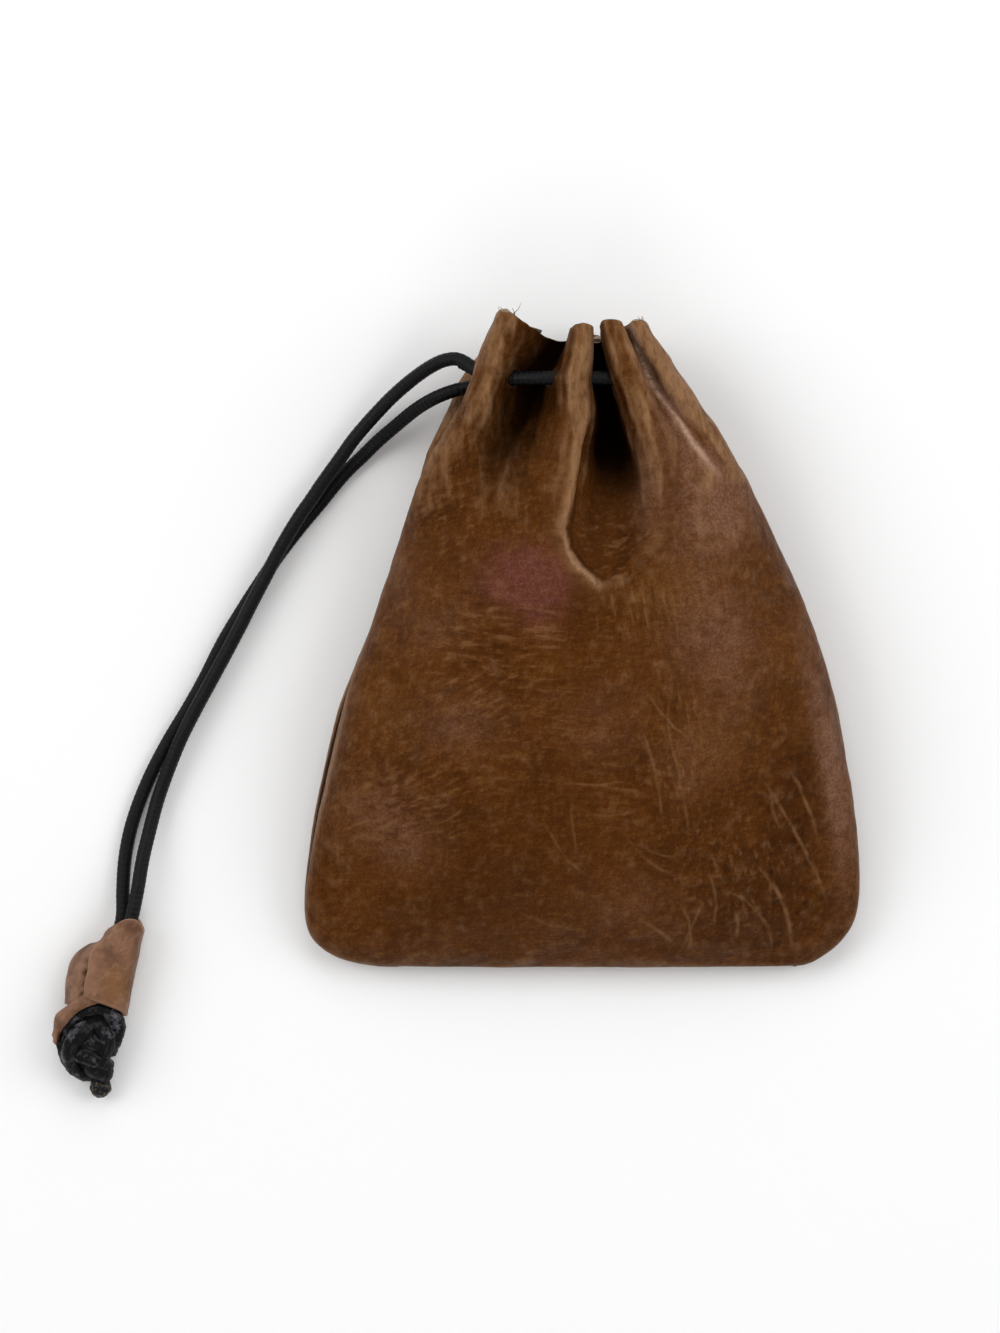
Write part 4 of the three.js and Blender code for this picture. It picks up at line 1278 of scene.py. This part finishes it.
# Loose fibres on the cut rim: place to the right, lean in degrees and length
FIBRES = [
    (-13.2, 12, 1.1), (-12.6, -20, 0.8), (-12.1, 30, 1.3), (-11.5, -8, 0.9), (-11.0, -38, 2.6),
    (-10.6, 14, 1.5), (8.6, -15, 0.9), (9.1, 20, 1.1), (9.7, -30, 0.8), (10.1, 10, 1.2),
]
FIBRE_RADIUS = 0.09  # at the foot


def build_fibres():
    rim = front_form[-1]
    parts = []
    for x, lean, length in FIBRES:
        high = np.abs(rim[:, 0] - x) < 0.6
        foot = rim[high][np.argmax(rim[high][:, 1])] - (0, 0.3, 0.5)
        tip = foot + length * np.array([-math.sin(math.radians(lean)), math.cos(math.radians(lean)), 0.5])
        middle = lerp(foot, tip, 0.5) + (0.12 * length, 0, 0.1)
        line = smooth_line([foot, middle, tip], 0.1)
        radius = FIBRE_RADIUS * np.linspace(1, 0.35, len(line))
        parts.append(braided_tube(line, radius, sides=6, depth=0))
    points, faces, _ = joined(parts)
    values = {"raw": np.ones(len(points))}
    return add_mesh("rim_fibres", points, faces, [raw_edge], values=values)


build_fibres()


# Slide: one strip of leather wrapped round both strands

SLIDE_COLUMNS = ("along", "left", "right", "start", "tuck")
SLIDE_SECTIONS = np.array([
    (0, -0.6, 0.6, 142, 0),
    (0.25, -0.76, 0.63, 134, 0.5),
    (0.45, -1.08, 0.68, 118, 1),
    (0.62, -1.19, 0.76, 109, 1),
    (0.8, -1.12, 0.84, 110, 1),
    (1, -0.94, 0.9, 112, 1),
])
SLIDE_TOP = (-54.1, -88.3)
SLIDE_TILT = math.radians(-20.7)
SLIDE_SLIT = math.radians(7)
SLIDE_SQUARENESS = 3.5
TUCK_START = 0.72
TUCK_RUN = 0.2
SLIDE_GRID = (70, 190)
TOP_SQUEEZE = 0.14  # how much narrower its upper end is, as a share
TOP_SQUEEZED = 0.3  # share of its length that narrows
TOP_ROUND = 0.35  # share of its length that bends with the round upper edge
TOP_CROWN = (1.1, 1.5)  # highest place of the strip's round upper edge
TOP_FALLS = (0.21, 0.4)  # how fast it falls to the left and to the right
LIP_RIGHT = 0.5  # how far the lower edge is cut back at the right
LIP_FRONT = 1.7  # and in front
LIP_LOBE = 1.2  # how far it runs on at the left, under the strip
LIP_START = 0.6  # share of the length from which the lower edge is shaped
LIP_FRONT_SIDE = (-3.2, -2.0)  # places across, from the lobe to the cut front
LIP_LOBE_SIDE = (-2.6, -4.0)  # and out to the full lobe
PALE_SIDE = (1.0, -3.0)  # places across over which painted light on the strip grows to the left
PALE_TOP = (4.0, 6.5)  # and heights over which it does
DARK_SIDE = (1.4, 3.8)  # places across over which painted shade on it grows to the right


def slide_section(along):
    place = np.interp(along, SLIDE_SECTIONS[:, 0], np.arange(len(SLIDE_SECTIONS)))
    return dict(zip(SLIDE_COLUMNS, row_between(SLIDE_SECTIONS, place)))


def slide_row(along, shares):
    section = slide_section(along)
    middle = (section["left"] + section["right"]) * SLIDE_WIDTH / 4
    half_width = (section["right"] - section["left"]) * SLIDE_WIDTH / 4
    half_height = SLIDE_HEIGHT / 2
    angle = math.radians(section["start"]) - shares * (2 * math.pi - SLIDE_SLIT)
    tucked = section["tuck"] * ease((shares - TUCK_START) / TUCK_RUN) * (SLIDE_LEATHER + SLIDE_GAP)
    across = np.abs(np.cos(angle)) ** SLIDE_SQUARENESS
    upward = np.abs(np.sin(angle)) ** SLIDE_SQUARENESS
    reach = (across + upward) ** (-1 / SLIDE_SQUARENESS)
    half_width *= 1 - TOP_SQUEEZE * (1 - ease(along / TOP_SQUEEZED))
    x = middle + (half_width - tucked) * reach * np.cos(angle)
    z = half_height + SLIDE_LIFT + (half_height - tucked) * reach * np.sin(angle)
    y = np.full(x.shape, -along * SLIDE_LENGTH)
    fall = np.where(x < TOP_CROWN[0], *TOP_FALLS)
    y += (TOP_CROWN[1] - fall * (x - TOP_CROWN[0]) ** 2) * (1 - ease(along / TOP_ROUND))
    lower = rise(along, LIP_START, 1)
    y += lower * LIP_RIGHT * np.maximum(np.cos(angle), 0)
    y += lower * (LIP_FRONT - LIP_RIGHT) * np.maximum(np.sin(angle), 0) * rise(x, *LIP_FRONT_SIDE)
    y -= lower * LIP_LOBE * rise(x, *LIP_LOBE_SIDE)
    return np.stack([x, y, z], axis=1)


def slide_to_frame(points):
    """From the slide's own directions to the purse's."""
    turn = np.array([
        (math.cos(SLIDE_TILT), -math.sin(SLIDE_TILT), 0),
        (math.sin(SLIDE_TILT), math.cos(SLIDE_TILT), 0),
        (0, 0, 1),
    ])
    return points @ turn.T + (NECK_LEFT + SLIDE_TOP[0], HOLE_Y + SLIDE_TOP[1], 0)


EDGE_RINGS = (0.15, 0.5, 0.85)  # rings of points across a strip's cut edge


def walled_strip(outer, normals, thickness, bulge):
    """A strip of leather between its outside and inside, with rounded cut edges; also what is edge."""
    inner = outer - normals * thickness
    rows, columns = outer.shape[:2]
    count = rows * columns
    border = [(0, j) for j in range(columns)]
    border += [(i, columns - 1) for i in range(1, rows)]
    border += [(rows - 1, j) for j in range(columns - 2, -1, -1)]
    border += [(i, 0) for i in range(rows - 2, 0, -1)]
    i, j = np.array(border).T
    outward = np.zeros((len(border), 3))
    for axis, place, last in ((0, i, rows - 1), (1, j, columns - 1)):
        off = (place == last).astype(float) - (place == 0)
        outward += off[:, None] * unit(np.gradient(outer, axis=axis))[i, j]
    outward = unit(outward) * bulge
    rings = [lerp(outer[i, j], inner[i, j], s) + outward * math.sin(math.pi * s) for s in EDGE_RINGS]
    points = np.vstack([outer.reshape(-1, 3), inner.reshape(-1, 3), *rings])
    faces = grid_faces(rows, columns) + grid_faces(rows, columns, first=count, flip=True)
    loops = [i * columns + j]
    loops += [2 * count + k * len(border) + np.arange(len(border)) for k in range(len(rings))]
    loops.append(count + i * columns + j)
    for above, below in zip(loops, loops[1:]):
        corners = np.stack([np.roll(above, -1), above, below, np.roll(below, -1)], axis=1)
        faces += [tuple(face) for face in corners.tolist()]
    return points, faces, np.arange(len(points)) >= 2 * count


# Holes of the slide's stitching beside its seam: x and y in the purse's frame, width and depth
AWL_HOLES = [
    (-80.15, -53.5, 0.62, 1.0), (-80.3, -55.3, 0.4, 0.7), (-80.0, -51.6, 0.5, 0.35), (-80.9, -57.0, 0.3, 0.5),
]


def build_slide():
    along, shares = [np.linspace(0, 1, count) for count in SLIDE_GRID]
    outer = np.array([slide_row(place, shares) for place in along])
    normals = unit(np.cross(np.gradient(outer, axis=0), np.gradient(outer, axis=1)))
    if (normals[0, 40] * (outer[0, 40] - outer[0].mean(axis=0))).sum() < 0:
        normals = -normals
    placed = slide_to_frame(outer)
    pits = np.zeros(outer.shape[:2])
    for hole_x, hole_y, width, depth in AWL_HOLES:
        away = np.hypot(placed[..., 0] - hole_x, placed[..., 1] - hole_y)
        pits = np.maximum(pits, depth * bell(away, width) * (shares > 0.5))
    lumps = 0.1 * noise_at(outer, 3.0, 33.0) + 0.04 * noise_at(outer, 0.9, 36.0)
    shaped = outer + normals * (lumps - 0.5 * pits)[..., None]
    shaped[..., 2] = np.maximum(0.05, shaped[..., 2])
    points, faces, is_edge = walled_strip(shaped[:, ::-1], normals[:, ::-1], SLIDE_LEATHER, 0.2)

    from_edge = np.cumsum(np.linalg.norm(np.diff(outer, axis=1, prepend=outer[:, :1]), axis=2), axis=1)
    to_edge = np.minimum(from_edge, from_edge[:, -1:] - from_edge)
    to_end = 0.2 * np.minimum(np.arange(len(along)), np.arange(len(along))[::-1])[:, None]
    # Painted light over the left side where the strip lies high, and painted shade over its right side, most
    # towards its top end
    unsteady = np.clip(0.6 + 0.8 * noise_at(outer, 2.0, 38.0), 0, 1)
    painted_light = 0.34 * rise(outer[..., 0], *PALE_SIDE) * rise(outer[..., 2], *PALE_TOP) * unsteady
    # The pale wear along the cut edges, joined with the painted light
    worn = np.maximum(0.22 * bell(np.minimum(to_edge, to_end), 0.35), painted_light)
    painted_shade_right = 0.45 * rise(outer[..., 0], *DARK_SIDE) * ease(1.4 * (1 - along[:, None]))
    bend_and_painted_light = 0.75 * is_edge
    bend_and_painted_light[:worn.size] = worn[:, ::-1].ravel()
    # The pale cut edges and the painted light go into the first value, and the painted shade of the awl holes
    # and of the right side into the second
    values = {"bend_and_painted_light": bend_and_painted_light, "painted_shade": np.clip(np.maximum(1.3 * pits, painted_shade_right)[:, ::-1], 0, 1)}
    points = slide_to_frame(points)
    piece = add_mesh("slide_wrap", points, faces, [slide_leather], values=values)
    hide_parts("cord_slide")
    return piece


slide_wrap = build_slide()


# The narrow end of the strip, which comes out under the slide's left side beside the knot

STRIP_UPPER = [
    (-79.3, -55.9, 6.0), (-81.2, -57.3, 7.0), (-83.2, -58.7, 6.8), (-85.0, -60.0, 6.0),
    (-85.5, -61.3, 5.2), (-85.6, -62.6, 4.6), (-85.9, -64.2, 4.2),
]
STRIP_LOWER = [
    (-77.9, -58.2, 6.4), (-80.3, -59.1, 7.4), (-81.95, -60.1, 7.4), (-83.4, -61.7, 6.6),
    (-84.1, -62.6, 5.6), (-84.5, -63.6, 4.8), (-84.7, -64.9, 4.2),
]
STRIP_GRID = (26, 40)
STRIP_THICKNESS = 0.8
STRIP_CROWN = 0.5  # how far its middle stands above its edges
STRIP_END_START = 0.8  # share of its length from which its end is cut wavy


def build_strip_end():
    shares = np.linspace(0, 1, STRIP_GRID[1])
    lines = [smooth_line(route, 0.2) for route in (STRIP_UPPER, STRIP_LOWER)]
    upper, lower = [points_at(shares, np.linspace(0, 1, len(line)), line) for line in lines]
    across = np.linspace(0, 1, STRIP_GRID[0])[:, None, None]
    outer = lerp(upper[None], lower[None], across)
    outer[..., 2] += STRIP_CROWN * np.sin(math.pi * across[..., 0])
    end = rise(shares, STRIP_END_START, 1)[None, :]
    outer[..., 1] += end * 0.5 * np.cos(2 * math.pi * across[..., 0])
    normals = unit(np.cross(np.gradient(outer, axis=0), np.gradient(outer, axis=1)))
    if normals[..., 2].mean() < 0:
        normals = -normals
    outer = outer + normals * (0.12 * noise_at(outer, 1.6, 41.0))[..., None]
    points, faces, is_edge = walled_strip(outer[::-1], normals[::-1], STRIP_THICKNESS, 0.18)
    values = {"bend_and_painted_light": 0.8 * is_edge + 0.12, "painted_shade": 0.0 * is_edge}
    return add_mesh("slide_strip_end", points, faces, [slide_leather], values=values)


strip_end = build_strip_end()


# Knot: the cord's turns pulled tight over one another, and its sealed end. Places are millimetres
# from the knot's middle, and above the surface.

KNOT_MIDDLE = np.array(from_neck([(-60.2, -107.3, 0.0)])[0])

# The route of each turn, and the radius of its cord, which is pressed wide
KNOT_TURNS = [
    ([(-3.2, 1.6, 4.2), (-2.7, 3.4, 5.0), (-0.9, 4.9, 5.4), (1.5, 5.4, 5.3), (3.6, 4.7, 5.0),
      (4.5, 2.9, 4.5), (3.9, 0.8, 3.9), (2.9, -1.4, 3.2)], 1.5),
    ([(1.2, 3.6, 4.6), (0.2, 2.8, 6.2), (-1.4, 1.6, 6.9), (-2.6, -0.2, 6.6), (-2.9, -2.2, 5.2),
      (-2.0, -3.9, 3.6), (-0.4, -4.8, 2.4)], 1.55),
    ([(0.2, 3.8, 4.8), (1.8, 2.9, 6.3), (2.9, 1.2, 6.2), (2.7, -0.7, 5.6), (1.6, -2.3, 5.0),
      (0.0, -3.4, 4.0)], 1.5),
    ([(-2.4, -0.6, 3.6), (-1.2, -1.5, 5.8), (0.4, -2.0, 6.2), (1.9, -2.9, 5.2), (2.8, -3.8, 3.8)], 1.55),
    ([(-0.6, -2.6, 3.6), (0.7, -3.5, 4.8), (1.9, -4.3, 4.2), (2.5, -5.0, 3.0)], 1.75),
    ([(-2.4, 2.6, 2.6), (-3.8, 1.2, 3.0), (-3.8, -0.8, 2.6), (-2.9, -3.0, 2.2), (-1.6, -4.2, 2.0),
      (0.4, -4.8, 2.1), (1.9, -4.7, 2.4)], 1.5),
    ([(1.6, -2.6, 3.4), (2.0, -4.0, 3.0), (1.9, -5.4, 2.6), (1.8, -6.4, 2.2)], 1.3),
]

# What fills the middle of the knot
KNOT_CORE = [(1.0, 3.4, 3.7), (0.4, 1.0, 4.3), (-0.1, -1.0, 4.1), (-0.3, -2.8, 3.3)]
KNOT_CORE_RADIUS = 3.3
KNOT_STEP = 0.18
KNOT_SIDES = 48
KNOT_CRUMPLE = (0.13, 0.9)  # height and size of its small lumps
TAIL_CRUMPLE = (0.2, 1.1)  # and of those of the sealed end
TAIL_BALL = (1.8, -7.1, 2.0)
TAIL_RADIUS = 1.75
TAIL_RINGS = 40


def crumpled(points, height, size):
    """The points with small shifts in all directions."""
    shifts = [noise_at(points, size, shift, octaves=3) for shift in (85.0, 88.0, 91.0)]
    return points + height * np.stack(shifts, axis=-1)


def build_knot():
    parts = []
    for turn, radius in KNOT_TURNS:
        line = smooth_line(turn, KNOT_STEP) + KNOT_MIDDLE
        squashed = radius * (1 + 0.09 * noise_at(line, 1.8, 81.0))
        parts.append(braided_tube(line, squashed, sides=KNOT_SIDES, depth=0.03))
    core = smooth_line(KNOT_CORE, KNOT_STEP) + KNOT_MIDDLE
    shares = np.linspace(-1, 1, len(core))
    core_radius = KNOT_CORE_RADIUS * np.sqrt(1.02 - shares ** 2)
    parts.append(braided_tube(core, core_radius, sides=KNOT_SIDES, depth=0.02))
    points, faces, braid = joined(parts)
    points = crumpled(points, *KNOT_CRUMPLE)
    points[:, 2] = np.maximum(0.1, points[:, 2])
    piece = add_cord_mesh("knot", (points, faces, braid), knot_cord)
    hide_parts("end_knot")
    return piece


def build_sealed_end():
    """The cord's melted end: a rough ball at the knot's foot."""
    up = np.sin(np.linspace(-1, 1, TAIL_RINGS) * math.pi / 2)[:, None]
    line = KNOT_MIDDLE + TAIL_BALL - TAIL_RADIUS * up * (0, 1, 0)
    radius = TAIL_RADIUS * np.sqrt(np.maximum(0.002, 1 - up[:, 0] ** 2))
    points, faces, braid = braided_tube(line, radius, sides=KNOT_SIDES, depth=0)
    return add_cord_mesh("sealed_end", (crumpled(points, *TAIL_CRUMPLE), faces, braid), sealed_cord)


knot = build_knot()
sealed_end = build_sealed_end()


# Floor, light and world

FLOOR_HALF = 2000.0
FLOOR_DROP = 0.05  # how far it lies under the purse
FLOOR_LOOKS = {"Base Color": (0.93, 0.93, 0.93, 1), "Roughness": 0.9, "Specular IOR Level": 0.1}
WORLD_LOOKS = {"Color": (1, 1, 1, 1), "Strength": 0.44}

floor_paint = Paint("pale_floor")
for look, amount in FLOOR_LOOKS.items():
    floor_paint.shader.inputs[look].default_value = amount
corners = [(-1, -1), (1, -1), (1, 1), (-1, 1)]
floor_points = [(x * FLOOR_HALF, y * FLOOR_HALF, -FLOOR_DROP) for x, y in corners]
floor_mesh = new_mesh("floor", floor_points, [(0, 1, 2, 3)])
floor_mesh.materials.append(floor_paint.material)
floor = new_object("floor", floor_mesh)

world = bpy.data.worlds.new("studio")
world.use_nodes = True
for look, amount in WORLD_LOOKS.items():
    world.node_tree.nodes["Background"].inputs[look].default_value = amount
bpy.context.scene.world = world
bpy.context.scene.view_settings.view_transform = "Standard"

# Soft round lights: name, place in metres and power in watts
LIGHTS = [
    ("light_left", (-0.75, 0.25, 0.75), 4.1),
    ("light_right", (0.75, 0.2, 0.7), 3.7),
    ("light_top", (0.0, 0.85, 0.8), 3.3),
    ("light_bottom", (0.0, -0.85, 0.8), 1.8),
]
LIGHT_SIZE = 0.8  # metres across

for light_name, place, power in LIGHTS:
    light_data = bpy.data.lights.new(light_name, "AREA")
    light_data.shape = "DISK"
    light_data.size = LIGHT_SIZE
    light_data.energy = power
    light = new_object(light_name, light_data)
    light.location = place
    light.rotation_euler = (-Vector(place)).to_track_quat("-Z", "Y").to_euler()
